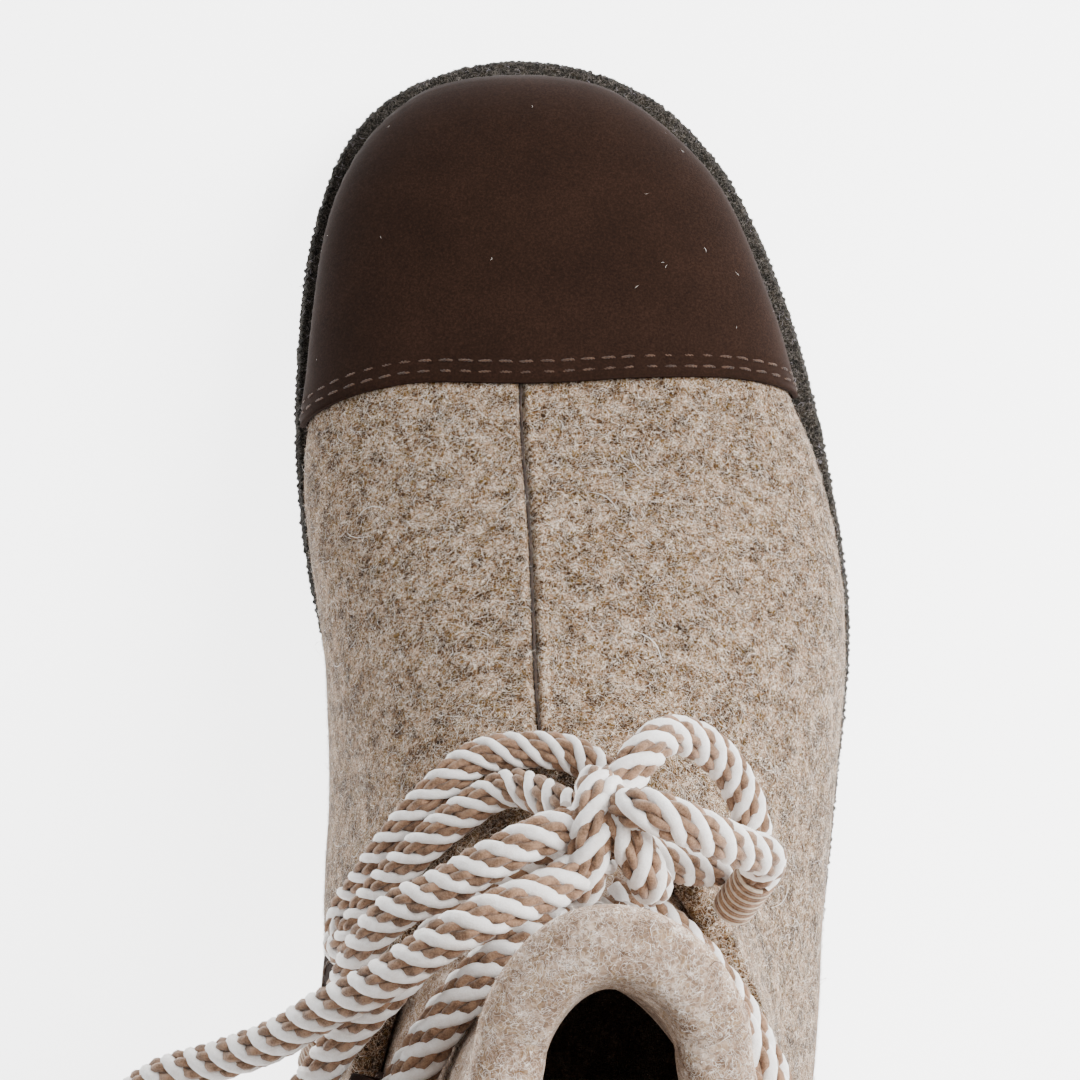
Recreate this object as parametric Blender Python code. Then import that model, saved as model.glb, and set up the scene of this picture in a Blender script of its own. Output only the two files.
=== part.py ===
"""Felt ankle boot with a rope lace, right shoe, standing empty on its sole.

The toe points along +Y, the inner (medial) side lies at -X, the outer (lateral) side
at +X and +Z is up. The origin is on the floor, under the middle of the sole.
"""
import math

import bmesh
import bpy
import numpy as np
from mathutils import Matrix, Vector

MM = 0.001                      # the sizes and tables below are in millimetres

# ---------------------------------------------------------------- driving dimensions
FELT = 4.2                      # wall of the felt upper and of the felt shaft
LEATHER = 1.4                   # toe cap, lace tab and rope keepers
GAP = 0.3                       # between two pieces that touch
SOFT_GAP = 0.45                 # between two curved layers of felt or leather
INSOLE = 4.0                    # thickness of the felt insole
ROPE = 5.2                      # diameter of the rope lace
MEDIAL = -1.0
LATERAL = 1.0
HEEL_X = -2.0                   # middle of the heel, across the shoe

# Outer edge of the sole, once around from the toe tip over the medial side.
RIM = (
    # name, x, y
    ("toe tip", -10.5, 133.0),
    ("big toe front", -32.2, 127.6),
    ("big toe corner", -43.2, 118.0),
    ("big toe side", -50.2, 101.0),
    ("medial ball front", -53.2, 78.0),
    ("medial ball", -53.3, 56.0),
    ("medial ball rear", -50.8, 34.0),
    ("medial waist front", -45.2, 10.0),
    ("arch", -38.2, -24.0),
    ("medial heel front", -35.8, -62.0),
    ("medial heel", -36.6, -96.0),
    ("medial heel corner", -26.5, -124.0),
    ("heel back", HEEL_X, -133.0),
    ("lateral heel corner", 22.5, -124.0),
    ("lateral heel", 34.0, -98.0),
    ("lateral waist", 43.2, -56.0),
    ("lateral waist front", 49.8, -12.0),
    ("lateral ball", 53.6, 22.0),
    ("lateral forefoot", 51.2, 48.0),
    ("little toe", 43.8, 82.0),
    ("little toe corner", 30.4, 112.0),
    ("second toe corner", 13.4, 127.4),
)

# Heights of the sole along the shoe.
SOLE = (
    # name, y, underside, joint of outsole and midsole, top
    ("heel back", -133.0, 3.0, 11.0, 18.6),
    ("heel tread", -118.0, 0.0, 9.6, 17.8),
    ("heel breast", -55.0, 0.0, 8.8, 16.2),
    ("arch", -25.0, 1.4, 8.4, 15.0),
    ("ball rear", 5.0, 0.0, 7.2, 14.2),
    ("ball front", 62.0, 0.0, 6.8, 14.0),
    ("toes", 98.0, 2.8, 8.6, 15.4),
    ("toe tip", 133.0, 9.0, 14.2, 19.8),
)

# How far the widest line of the upper stands inside the edge of the sole.
LEDGE = (
    # name, y, medial, lateral (a negative ledge hangs over the edge)
    ("toe tip", 133.0, 8.8, 8.8),
    ("toe corners", 122.0, 9.6, 9.9),
    ("toes", 102.0, 7.9, 8.8),
    ("under the cap edge", 68.0, 6.6, 8.5),
    ("behind the cap", 48.0, 4.0, 5.6),
    ("ball rear", 20.0, 2.4, 4.6),
    ("waist front", -4.0, -1.4, 3.6),
    ("arch", -32.0, -6.0, 3.4),
    ("heel breast", -62.0, -6.4, 2.0),
    ("heel", -96.0, -3.0, -1.0),
    ("heel back", -133.0, 0.8, 0.8),
)
FEATHER_INSET = 1.8             # the upper's bottom edge, inside its widest line
FEATHER_LEAST = 3.2             # and at least this far inside the edge of the sole

# The foot part of the upper, in cross-sections along the shoe.
FOOT = (
    # name, y, height of the widest line, fullness of the arch, x of the ridge
    ("toe tip", 133.0, 27.0, 2.2, -9.0),
    ("toe corners", 112.0, 27.0, 2.5, -9.0),
    ("toe box", 98.0, 27.0, 2.8, -9.0),
    ("cap edge", 60.0, 27.0, 2.5, -9.0),
    ("vamp", 30.0, 27.5, 2.1, -7.2),
    ("instep", 0.0, 28.0, 1.7, -6.0),
    ("ankle", -35.0, 28.5, 1.5, -3.0),
    ("heel back", -133.0, 31.0, 1.7, HEEL_X),
)

# The shaft part of the upper, in level cross-sections.
SHAFT = (
    # name, z, half breadth, x of the front, nose's fullness: medial, lateral, share of pinch
    ("waist", 40.0, 37.5, -6.0, 1.8, 1.8, 0.0),
    ("ankle bone", 68.0, 32.5, -4.0, 1.8, 1.8, 0.0),
    ("topline", 90.0, 34.0, -1.5, 2.1, 2.1, 0.0),
    ("cinch", 104.0, 34.5, 0.6, 1.5, 1.6, 0.0),
    ("cuff", 128.0, 35.5, 1.3, 1.5, 1.5, 0.55),
    ("collar", 152.0, 38.0, 1.2, 1.6, 1.2, 1.0),
)
BROADEST = 0.62                 # place of the shaft's greatest breadth, from the front
BACK = 2.2                      # fullness of its back
PINCH_END, PINCH_NOSE = 0.15, 1.8       # length and fullness of its pinched front
PINCH_MEDIAL, PINCH_LATERAL = 0.46, 0.52        # breadth of it, as shares of the shaft's
PINCH_GONE = 0.45               # place where the shaft has its full breadth again

# Loops around the form, from its widest line to the collar.
LOOPS = (
    # name, front y, front z, back y, back z, dip at the sides
    ("widest line", 124.2, 27.0, -132.2, 31.0, 0.0),
    ("toe crown", 119.2, 36.0, -132.6, 34.0, 0.0),
    ("toe top", 109.5, 42.0, -132.7, 38.0, 0.0),
    ("toe box", 93.0, 45.6, -132.5, 43.0, 0.0),
    ("cap edge", 60.0, 48.6, -132.0, 52.0, 0.5),
    ("vamp", 30.0, 62.0, -130.8, 62.0, 2.0),
    ("instep", 6.0, 76.0, -129.0, 74.0, 4.0),
    ("topline", -12.0, 89.0, -126.8, 89.0, 5.5),
    ("cinch", -22.5, 104.0, -125.0, 104.0, 2.0),
    ("cuff", -19.0, 126.0, -127.5, 127.0, 1.0),
    ("collar", -12.5, 150.0, -131.0, 152.0, 3.0),
)
LEAN_FROM, LEAN_TO = 32.0, 92.0         # heights between which foot turns into shaft
ANKLE_FROM, ANKLE_TO = 12.0, -30.0      # places along the shoe where it does so
VAMP_TOP = 92.0                         # up to here the ridge is the ridge of the foot
VAMP_SLOPE = 0.9                        # rise of the foot's ridge behind that
OVER_VAMP_FROM, OVER_VAMP_TO = 80.0, 98.0       # heights where all is shaft, over the vamp
HEEL_FROM, HEEL_TO = 60.0, 120.0        # distances back along which the heel leans in

# Layers, measured out from the form, which is the outside of the upper.
UPPER_OUT, UPPER_IN = 0.0, -FELT
SHAFT_OUT = UPPER_IN - SOFT_GAP
SHAFT_IN = SHAFT_OUT - FELT
COVER_IN, COVER_OUT = SOFT_GAP, SOFT_GAP + LEATHER

HEM = 3.2                       # what the felt folded in at the collar adds to the wall
HEM_FROM, HEM_TO = 0.4, 0.6     # where its edge lies, as shares of the way from cuff to collar

# Rear edge of the toe cap, in plan.
CAP_EDGE = (
    # name, x, y
    ("beside the medial end", -70.0, 48.0),
    ("medial end", -43.5, 57.9),
    ("medial side", -36.0, 59.8),
    ("medial vamp", -26.0, 60.8),
    ("ridge", -9.0, 60.2),
    ("lateral vamp", 14.0, 61.8),
    ("lateral side", 29.0, 62.6),
    ("lateral end", 42.0, 61.8),
    ("beside the lateral end", 70.0, 55.0),
)
CAP_EDGE_STEP = 4.0

# Leather tab and metal eyelet on the medial side, in side view.
TAB_Y, TAB_Z, TAB_LENGTH, TAB_HEIGHT = -41.6, 63.5, 18.0, 20.0
TAB_ROUNDING = 0.28             # how far its sides bow in towards the corners
EYELET_Y, EYELET_Z = -27.3, 65.0
EYELET_FLANGE, EYELET_BARREL, EYELET_HOLE = 9.6, 6.8, 5.8
EYELET_SHEET, EYELET_SEAT = 0.8, 0.45   # its metal, and its flanges' clearance to the felt

# The rope: two turns round the ankle, then over the instep to the eyelet and back.
WRAP_FRONT_Z, WRAP_BACK_Z, WRAP_PITCH = 103.4, 97.0, 5.6
WRAP_START, WRAP_END = 1, 95            # steps of the turn, 48 to each of the two turns
BAR_START, BAR_END = (5.2, -8.6, 99.5), (-1.2, -10.4, 99.5)
BAR = (
    # name, side, y, z on the form, clearance
    ("below the knot", LATERAL, -10.0, 86.0, 1.8),
    ("lateral of the ridge", LATERAL, -5.0, 83.0, 0.7),
    ("on the ridge", MEDIAL, -2.4, 82.5, 0.6),
    ("medial crest", MEDIAL, -4.8, 81.2, 0.6),
    ("medial slope", MEDIAL, -10.9, 80.5, 0.5),
    ("lower slope", MEDIAL, -17.5, 78.0, 0.5),
    ("above the eyelet", MEDIAL, -22.5, 74.5, 0.7),
    ("before the eyelet", MEDIAL, -26.6, 70.6, 1.2),
    ("bend", MEDIAL, -31.1, 70.0, 0.8),
    ("behind the eyelet", MEDIAL, -31.1, 75.3, 0.8),
    ("lower slope, back", MEDIAL, -25.0, 79.0, 0.5),
    ("medial slope, back", MEDIAL, -17.6, 84.0, 0.5),
    ("medial crest, back", MEDIAL, -12.6, 85.5, 0.7),
    ("below the knot, back", MEDIAL, -10.2, 86.4, 2.0),
)

# Knot, loops and ends of the rope.
KNOT = Vector((2.0, -13.0, 109.0))
KNOT_SIZE = Vector((9.5, 7.0, 8.0))    # half breadth, half depth, half height
KNOT_MARGIN = 2.4                       # from the knot to the ropes that leave it
LOOP_LEFT = (
    (2.0, -15.0, 112.0), (-3.9, -18.6, 116.5), (-9.3, -20.6, 119.0), (-15.2, -23.4, 119.0),
    (-21.3, -27.5, 116.0), (-26.4, -30.9, 112.5), (-33.3, -34.8, 107.0), (-39.6, -39.0, 102.0),
    (-48.5, -42.9, 96.0), (-57.2, -46.2, 91.0), (-65.0, -53.5, 84.5), (-64.5, -62.0, 79.5),
    (-55.5, -65.0, 80.0), (-45.2, -57.5, 86.0), (-37.3, -47.9, 94.5), (-30.2, -38.1, 101.5),
    (-23.9, -31.4, 105.8), (-15.9, -23.0, 105.4), (-8.5, -17.6, 105.0), (2.0, -13.0, 107.0),
)
LOOP_RIGHT = (
    (3.0, -10.0, 109.0), (4.6, -6.6, 109.0), (7.8, -2.5, 107.0), (11.4, -0.3, 102.0),
    (16.5, -1.6, 97.0), (21.1, -6.3, 92.5), (23.7, -13.2, 90.0), (22.4, -16.8, 90.5),
    (17.8, -17.8, 93.5), (10.0, -16.5, 101.0), (4.0, -13.5, 105.5),
)
END_LEFT = (
    (1.0, -11.5, 112.0), (-5.1, -12.5, 114.0), (-10.7, -15.2, 114.0), (-18.3, -19.5, 111.0),
    (-24.2, -22.6, 107.6), (-28.6, -27.8, 102.5), (-32.2, -35.4, 93.5), (-35.0, -41.2, 85.5),
)
END_RIGHT = (
    (3.5, -10.0, 112.0), (7.0, -9.4, 118.5), (13.8, -12.0, 116.5), (19.6, -14.4, 110.5),
    (22.9, -15.6, 106.0), (23.6, -16.6, 103.2), (22.9, -18.2, 100.8),
)
TIP_LENGTH, TIP_WIDTH = 9.0, 5.6        # thread whipping on an end of the rope
BAR_STEP, LOOP_STEP = 4.6, 8.0          # between the points of a rope

# Leather keeper over the rope, on the medial side of the ankle.
KEEPER_Y, KEEPER_LENGTH = -51.0, 12.0
KEEPER_LOW, KEEPER_HIGH = 87.5, 117.0
KEEPER_FOOT, KEEPER_RISE = 5.0, 3.0     # sewn down at each end, and the step up beside it

# Tread: chevron grooves across the underside.
GROOVE_WIDTH, GROOVE_DEPTH, GROOVE_POINT = 3.2, 2.2, 7.0
GROOVES = (-112.0, -100.0, -88.0, -76.0, -64.0, 8.0, 20.0, 32.0, 44.0, 56.0, 68.0, 80.0,
           92.0, 104.0)


# ------------------------------------------------------------------- curves and rows
def column(rows, place):
    return np.array([row[place] for row in rows], dtype=float)


def smooth_rows(xs, ys):
    """Cubic through the rows that never overshoots them, and is flat past both ends."""
    order = np.argsort(xs)
    xs = np.asarray(xs, dtype=float)[order]
    ys = np.asarray(ys, dtype=float)[order]
    step = np.diff(xs)
    rise = np.diff(ys) / step
    slope = np.concatenate(([rise[0]], np.zeros(len(xs) - 2), [rise[-1]]))
    same = rise[:-1] * rise[1:] > 0.0
    pair = np.where(same, rise[:-1] + rise[1:], 1.0)
    slope[1:-1] = np.where(same, 2.0 * rise[:-1] * rise[1:] / pair, 0.0)

    def value(x):
        x = np.clip(x, xs[0], xs[-1])
        k = np.clip(np.searchsorted(xs, x) - 1, 0, len(xs) - 2)
        t = (x - xs[k]) / step[k]
        low = ys[k] + t * t * (3.0 - 2.0 * t) * (ys[k + 1] - ys[k])
        bend = slope[k] * t * (1.0 - t) ** 2 - slope[k + 1] * t * t * (1.0 - t)
        return low + bend * step[k]

    return value


def smooth_line(points, closed=False, steps=24):
    """Dense smooth curve through the points, with tangents that suit uneven spacing."""
    points = np.asarray(points, dtype=float)
    if closed:
        ring = np.vstack((points[-1], points, points[:2]))
    else:
        ring = np.vstack((2.0 * points[0] - points[1], points, 2.0 * points[-1] - points[-2]))
    chords = np.linalg.norm(np.diff(ring, axis=0), axis=1)
    knots = np.concatenate(([0.0], np.cumsum(np.sqrt(chords))))
    before, after = np.diff(knots)[:-1, None], np.diff(knots)[1:, None]
    chord = np.diff(ring, axis=0)
    tangent = (chord[:-1] / before * after + chord[1:] / after * before) / (before + after)
    line = []
    for k in range(len(ring) - 3):
        span = after[k]
        for t in np.arange(steps) / steps:
            ease = t * t * (3.0 - 2.0 * t)
            bend = tangent[k] * t * (1.0 - t) ** 2 - tangent[k + 1] * t * t * (1.0 - t)
            line.append(ring[k + 1] + ease * chord[k + 1] + span * bend)
    if not closed:
        line.append(points[-1])
    return np.array(line)


def evenly(line, spacing):
    """The line again, with its points evenly spaced."""
    along = np.concatenate(([0.0], np.cumsum(np.linalg.norm(np.diff(line, axis=0), axis=1))))
    count = max(3, int(round(along[-1] / spacing)) + 1)
    places = np.linspace(0.0, along[-1], count)
    return np.column_stack([np.interp(places, along, line[:, axis]) for axis in range(3)])


def ease(value, low, high):
    t = np.clip((value - low) / (high - low), 0.0, 1.0)
    return t * t * (3.0 - 2.0 * t)


# ------------------------------------------------------------------ outlines in plan
class Outline:
    """A closed outline in plan, read as x for a place y on one side."""

    def __init__(self, curve):
        front, back = int(np.argmax(curve[:, 1])), int(np.argmin(curve[:, 1]))
        self.front, self.back = curve[front, 1], curve[back, 1]
        ahead = np.gradient(np.vstack((curve[-1:], curve, curve[:1])), axis=0)[1:-1]
        normal = np.column_stack((ahead[:, 1], -ahead[:, 0]))
        normal /= np.linalg.norm(normal, axis=1)[:, None]
        turn = np.roll(np.arange(len(curve)), -front)
        cut = list(turn).index(back)
        self.half = {}
        for side, places in ((MEDIAL, turn[:cut + 1]), (LATERAL, np.append(turn[cut:], front))):
            rows = np.column_stack((curve[places], normal[places]))
            self.half[side] = rows[np.argsort(rows[:, 1], kind="stable")]

    def x(self, y, side):
        near = np.interp(y, self.half[MEDIAL][:, 1], self.half[MEDIAL][:, 0])
        far = np.interp(y, self.half[LATERAL][:, 1], self.half[LATERAL][:, 0])
        return np.where(np.asarray(side) < 0.0, near, far)

    def loop(self, count, inset=0.0):
        """Points around the outline, closer at toe and heel, moved in by the inset."""
        points = []
        for k in range(count):
            turn = 2.0 * math.pi * k / count
            rows = self.half[MEDIAL if turn <= math.pi else LATERAL]
            y = self.back + (self.front - self.back) * (1.0 + math.cos(turn)) / 2.0
            x, nx, ny = (np.interp(y, rows[:, 1], rows[:, place]) for place in (0, 2, 3))
            size = math.hypot(nx, ny)
            points.append((x - inset * nx / size, y - inset * ny / size))
        return np.array(points)


def outward(curve):
    ahead = np.roll(curve, -1, axis=0) - np.roll(curve, 1, axis=0)
    normal = np.column_stack((ahead[:, 1], -ahead[:, 0]))
    return normal / np.linalg.norm(normal, axis=1)[:, None]


RIM_CURVE = smooth_line([row[1:] for row in RIM], closed=True)
RIM_OUT = outward(RIM_CURVE)
EDGE = Outline(RIM_CURVE)


def inset_of(rule):
    """Outline of the sole moved in by rule(y, share of the lateral side)."""
    lateral = ease(RIM_CURVE[:, 0], HEEL_X - 12.0, HEEL_X + 12.0)
    amount = rule(RIM_CURVE[:, 1], lateral)
    return Outline(RIM_CURVE - RIM_OUT * amount[:, None])


ledge_medial = smooth_rows(column(LEDGE, 1), column(LEDGE, 2))
ledge_lateral = smooth_rows(column(LEDGE, 1), column(LEDGE, 3))


def ledge(y, lateral):
    return ledge_medial(y) * (1.0 - lateral) + ledge_lateral(y) * lateral


def feather_inset(y, lateral):
    return np.maximum(ledge(y, lateral) + FEATHER_INSET, FEATHER_LEAST)


WIDEST = inset_of(ledge)
FEATHER = inset_of(feather_inset)

sole_bottom = smooth_rows(column(SOLE, 1), column(SOLE, 2))
sole_joint = smooth_rows(column(SOLE, 1), column(SOLE, 3))
sole_top = smooth_rows(column(SOLE, 1), column(SOLE, 4))

# ------------------------------------------------------------------- form of the boot
widest_z = smooth_rows(column(FOOT, 1), column(FOOT, 2))
arch_fullness = smooth_rows(column(FOOT, 1), column(FOOT, 3))
ridge_x = smooth_rows(column(FOOT, 1), column(FOOT, 4))
shaft_breadth = smooth_rows(column(SHAFT, 1), column(SHAFT, 2))
shaft_front_x = smooth_rows(column(SHAFT, 1), column(SHAFT, 3))
nose_medial = smooth_rows(column(SHAFT, 1), column(SHAFT, 4))
nose_lateral = smooth_rows(column(SHAFT, 1), column(SHAFT, 5))
shaft_pinch = smooth_rows(column(SHAFT, 1), column(SHAFT, 6))

LOOP_STEPS = np.hypot(np.diff(column(LOOPS, 1)), np.diff(column(LOOPS, 2)))
LOOP_PLACES = np.concatenate(([0.0], np.cumsum(LOOP_STEPS))) / np.sum(LOOP_STEPS)
front_y = smooth_rows(LOOP_PLACES, column(LOOPS, 1))
front_z = smooth_rows(LOOP_PLACES, column(LOOPS, 2))
back_y = smooth_rows(LOOP_PLACES, column(LOOPS, 3))
back_z = smooth_rows(LOOP_PLACES, column(LOOPS, 4))
side_dip = smooth_rows(LOOP_PLACES, column(LOOPS, 5))

FINE = np.linspace(0.0, 1.0, 3000)
FRONT_Y, FRONT_Z = front_y(FINE), front_z(FINE)
BACK_Y, BACK_Z = back_y(FINE), back_z(FINE)
FOOT_RIDGE = FRONT_Z <= VAMP_TOP


def loop_place(name):
    """Height along the form, from 0 at the widest line to 1 at the collar, of a loop."""
    return LOOP_PLACES[[row[0] for row in LOOPS].index(name)]


def foot_ridge_z(y):
    ys, zs = FRONT_Y[FOOT_RIDGE][::-1], FRONT_Z[FOOT_RIDGE][::-1]
    return np.interp(y, ys, zs) + VAMP_SLOPE * np.maximum(ys[0] - y, 0.0)


def egg(u, z, side):
    """Share of the shaft's breadth in its level section, from its nose to its back."""
    medial = np.asarray(side) < 0.0
    fore = np.clip(1.0 - u / BROADEST, 0.0, 1.0)
    aft = np.clip((u - BROADEST) / (1.0 - BROADEST), 0.0, 1.0)
    full = np.sqrt(np.maximum(1.0 - fore ** np.where(medial, nose_medial(z), nose_lateral(z)), 0.0))
    near = np.clip(1.0 - u / PINCH_END, 0.0, 1.0)
    width = np.where(medial, PINCH_MEDIAL, PINCH_LATERAL)
    narrow = width * np.sqrt(1.0 - near ** PINCH_NOSE)
    narrow = narrow + (1.0 - width) * ease(u, PINCH_END, PINCH_GONE)
    front = full + (narrow - full) * shaft_pinch(z)
    return front * np.sqrt(np.maximum(1.0 - aft ** BACK, 0.0))


def form_x(y, z, side):
    """Where the form's wall stands at a place y and a height z above the widest line."""
    fore, aft = np.interp(z, FRONT_Z, FRONT_Y), np.interp(z, BACK_Z, BACK_Y)
    moved = y + (WIDEST.back - aft) * ease(-y, HEEL_FROM, HEEL_TO)
    rise = (z - widest_z(y)) / np.maximum(foot_ridge_z(y) - widest_z(y), 1.0)
    arch = np.sqrt(1.0 - np.clip(rise, 0.0, 1.0) ** arch_fullness(y))
    foot = ridge_x(y) + (WIDEST.x(moved, side) - ridge_x(y)) * arch
    u = np.clip((fore - y) / (fore - aft), 0.0, 1.0)
    middle = shaft_front_x(z) * (1.0 - u) + HEEL_X * u
    shaft = middle + side * shaft_breadth(z) * egg(u, z, side)
    over_foot = 1.0 - ease(-y, -ANKLE_FROM, -ANKLE_TO)
    over_foot = over_foot * (1.0 - ease(z, OVER_VAMP_FROM, OVER_VAMP_TO))
    lean = ease(z, LEAN_FROM, LEAN_TO) * (1.0 - over_foot)
    return foot * (1.0 - lean) + shaft * lean


def form_yz(s, turn):
    """Place and height of a loop's point; a turn of 0 is the front, pi the back."""
    u = (1.0 - np.cos(turn)) / 2.0
    y = front_y(s) * (1.0 - u) + back_y(s) * u
    line = front_z(s) * (1.0 - u) + back_z(s) * u
    low = front_z(0.0) * (1.0 - u) + back_z(0.0) * u
    sway = (widest_z(y) - low) * (1.0 - s) ** 2 - side_dip(s)
    return y, line + sway * np.sin(turn) ** 2


def side_of(turn):
    return np.where(np.sin(turn) >= 0.0, MEDIAL, LATERAL)


def form(s, turn):
    """Point of the form: s runs from -1 at the feather edge over 0 to 1 at the collar."""
    s, turn = np.broadcast_arrays(np.asarray(s, dtype=float), np.asarray(turn, dtype=float))
    side = side_of(turn)
    y, z = form_yz(np.maximum(s, 0.0), turn)
    x = form_x(y, z, side)
    share = (y - WIDEST.back) / (WIDEST.front - WIDEST.back)
    low_y = FEATHER.back + share * (FEATHER.front - FEATHER.back)
    low_x = FEATHER.x(low_y, side)
    down = np.clip(-s, 0.0, 1.0)
    tuck = 1.0 - np.cos(down * math.pi / 2.0)
    bottom = sole_top(low_y) + GAP
    return np.stack((x + (low_x - x) * tuck, y + (low_y - y) * tuck, z + (bottom - z) * down), -1)


def form_normal(s, turn):
    near = 0.002
    across = form(s, turn + near) - form(s, turn - near)
    up = form(np.minimum(s + near, 1.0), turn) - form(np.maximum(s - near, -1.0), turn)
    normal = np.cross(across, up)
    return normal / np.linalg.norm(normal, axis=-1)[..., None]


def layer(s, turn, out):
    """Point at a distance out from the form."""
    return form(s, turn) + form_normal(s, turn) * np.asarray(out)[..., None]


def locate(y, z, side):
    """The loop and turn at which the form has a place y and a height z on one side."""
    y, z = np.broadcast_arrays(np.asarray(y, dtype=float), np.asarray(z, dtype=float))
    low, high = np.zeros(y.shape), np.ones(y.shape)
    for _ in range(40):
        s = (low + high) / 2.0
        u = np.clip((front_y(s) - y) / (front_y(s) - back_y(s)), 0.0, 1.0)
        turn = np.arccos(1.0 - 2.0 * u)
        short = form_yz(s, turn)[1] < z
        low, high = np.where(short, s, low), np.where(short, high, s)
    return s, np.where(np.asarray(side) < 0.0, turn, 2.0 * math.pi - turn)


def on_form(y, z, side, out):
    s, turn = locate(y, z, side)
    return layer(s, turn, np.broadcast_to(out, s.shape))


# ------------------------------------------------------------------------ materials
def material(name, colour, roughness, metallic=0.0):
    made = bpy.data.materials.new(name)
    made.use_nodes = True
    shader = made.node_tree.nodes["Principled BSDF"]
    shader.inputs["Base Color"].default_value = (*colour, 1.0)
    shader.inputs["Roughness"].default_value = roughness
    shader.inputs["Metallic"].default_value = metallic
    return made


def add_object(name, mesh, finish, smooth_angle=40.0):
    made = bpy.data.objects.new(name, mesh)
    bpy.context.scene.collection.objects.link(made)
    mesh.materials.append(finish)
    if smooth_angle:
        mesh.shade_smooth()
        mesh.set_sharp_from_angle(angle=math.radians(smooth_angle))
    return made


def mesh_of(name, points, faces):
    """Mesh in metres of points in millimetres, with its faces pointing out."""
    mesh = bpy.data.meshes.new(name)
    shape = bmesh.new()
    corners = [shape.verts.new(Vector(point) * MM) for point in points]
    for face in faces:
        shape.faces.new([corners[k] for k in face])
    bmesh.ops.recalc_face_normals(shape, faces=shape.faces)
    shape.to_mesh(mesh)
    shape.free()
    return mesh


def grid_faces(rows, columns, start, closed):
    faces = []
    for i in range(rows - 1):
        for j in range(columns if closed else columns - 1):
            k, nxt = start + i * columns + j, start + i * columns + (j + 1) % columns
            faces.append((k, nxt, nxt + columns))
            faces.append((k, nxt + columns, k + columns))
    return faces


def tube_wall(name, outer, inner, finish):
    """A wall that runs around, between an outer and an inner stack of closed loops."""
    rows, columns = outer.shape[:2]
    points = np.vstack((outer.reshape(-1, 3), inner.reshape(-1, 3)))
    shift = rows * columns
    faces = grid_faces(rows, columns, 0, True)
    faces += [face[::-1] for face in grid_faces(rows, columns, shift, True)]
    for row in (0, rows - 1):
        for j in range(columns):
            a, b = row * columns + j, row * columns + (j + 1) % columns
            faces.append((a, b, b + shift, a + shift))
    return add_object(name, mesh_of(name, points, faces), finish)


def sheet(name, outer, inner, finish):
    """A patch of sheet between an outer and an inner grid of points."""
    rows, columns = outer.shape[:2]
    points = np.vstack((outer.reshape(-1, 3), inner.reshape(-1, 3)))
    shift = rows * columns
    faces = grid_faces(rows, columns, 0, False)
    faces += [face[::-1] for face in grid_faces(rows, columns, shift, False)]
    rim = [j for j in range(columns)]
    rim += [i * columns + columns - 1 for i in range(1, rows)]
    rim += [(rows - 1) * columns + j for j in range(columns - 2, -1, -1)]
    rim += [i * columns for i in range(rows - 2, 0, -1)]
    for a, b in zip(rim, rim[1:] + rim[:1]):
        faces.append((a, b, b + shift, a + shift))
    return add_object(name, mesh_of(name, points, faces), finish)


def slab(name, levels, finish, count=72):
    """A slab with the sole's outline: levels of outline, inset and height, top first."""
    points, faces = [], []
    for outline, inset, height in levels:
        plan = outline.loop(count, inset)
        points.extend((x, y, float(height(y))) for x, y in plan)
    faces += grid_faces(len(levels), count, 0, True)
    for start in (0, (len(levels) - 1) * count):
        for k in range(count // 2):
            ring = (k, k + 1, count - k - 1, (count - k) % count)
            faces.append([start + p for p in dict.fromkeys(ring)])
    return add_object(name, mesh_of(name, points, faces), finish)


# ------------------------------------------------------------------------------ sole
def add_boolean(target, cutter, operation="DIFFERENCE"):
    cutter.hide_render = True
    cutter.display_type = "WIRE"
    cut = target.modifiers.new("cut", "BOOLEAN")
    cut.operation = operation
    cut.solver = "EXACT"
    cut.object = cutter


def tread_cutter():
    """Chevron bars, one for each groove, that follow the underside up at the toe."""
    points, faces = [], []
    reach = 60.0
    for y in GROOVES:
        start = len(points)
        low, high = -3.0, float(sole_bottom(y)) + GROOVE_DEPTH
        for z in (low, high):
            for x, lead in ((-reach, 0.0), (0.0, GROOVE_POINT), (reach, 0.0)):
                points.append((x, y + lead - GROOVE_WIDTH / 2.0, z))
            for x, lead in ((reach, 0.0), (0.0, GROOVE_POINT), (-reach, 0.0)):
                points.append((x, y + lead + GROOVE_WIDTH / 2.0, z))
        bottom = [start + k for k in (0, 1, 4, 5)], [start + k for k in (1, 2, 3, 4)]
        faces += [face[::-1] for face in bottom]
        faces += [[k + 6 for k in face] for face in bottom]
        for k in range(6):
            nxt = (k + 1) % 6
            faces.append((start + k, start + nxt, start + nxt + 6, start + k + 6))
    return add_object("tread_cutter", mesh_of("tread_cutter", points, faces), RUBBER, 0.0)


def make_outsole():
    levels = (
        (EDGE, 0.9, lambda y: sole_joint(y) - GAP),
        (EDGE, 0.9, lambda y: sole_bottom(y) + 3.0),
        (EDGE, 2.0, lambda y: sole_bottom(y)),
    )
    outsole = slab("outsole", levels, RUBBER)
    add_boolean(outsole, tread_cutter())


def make_midsole():
    levels = (
        (EDGE, 1.3, lambda y: sole_top(y)),
        (EDGE, 0.0, lambda y: sole_top(y) - 1.5),
        (EDGE, 0.0, lambda y: sole_joint(y) + 1.4),
        (EDGE, 1.0, lambda y: sole_joint(y)),
    )
    slab("midsole", levels, RIM_WOOL)


def make_insole():
    inset = FELT + 0.5
    levels = (
        (FEATHER, inset + 0.6, lambda y: sole_top(y) + GAP + INSOLE),
        (FEATHER, inset, lambda y: sole_top(y) + GAP + INSOLE - 1.0),
        (FEATHER, inset, lambda y: sole_top(y) + GAP),
    )
    slab("insole", levels, INSOLE_FELT, count=48)


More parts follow.
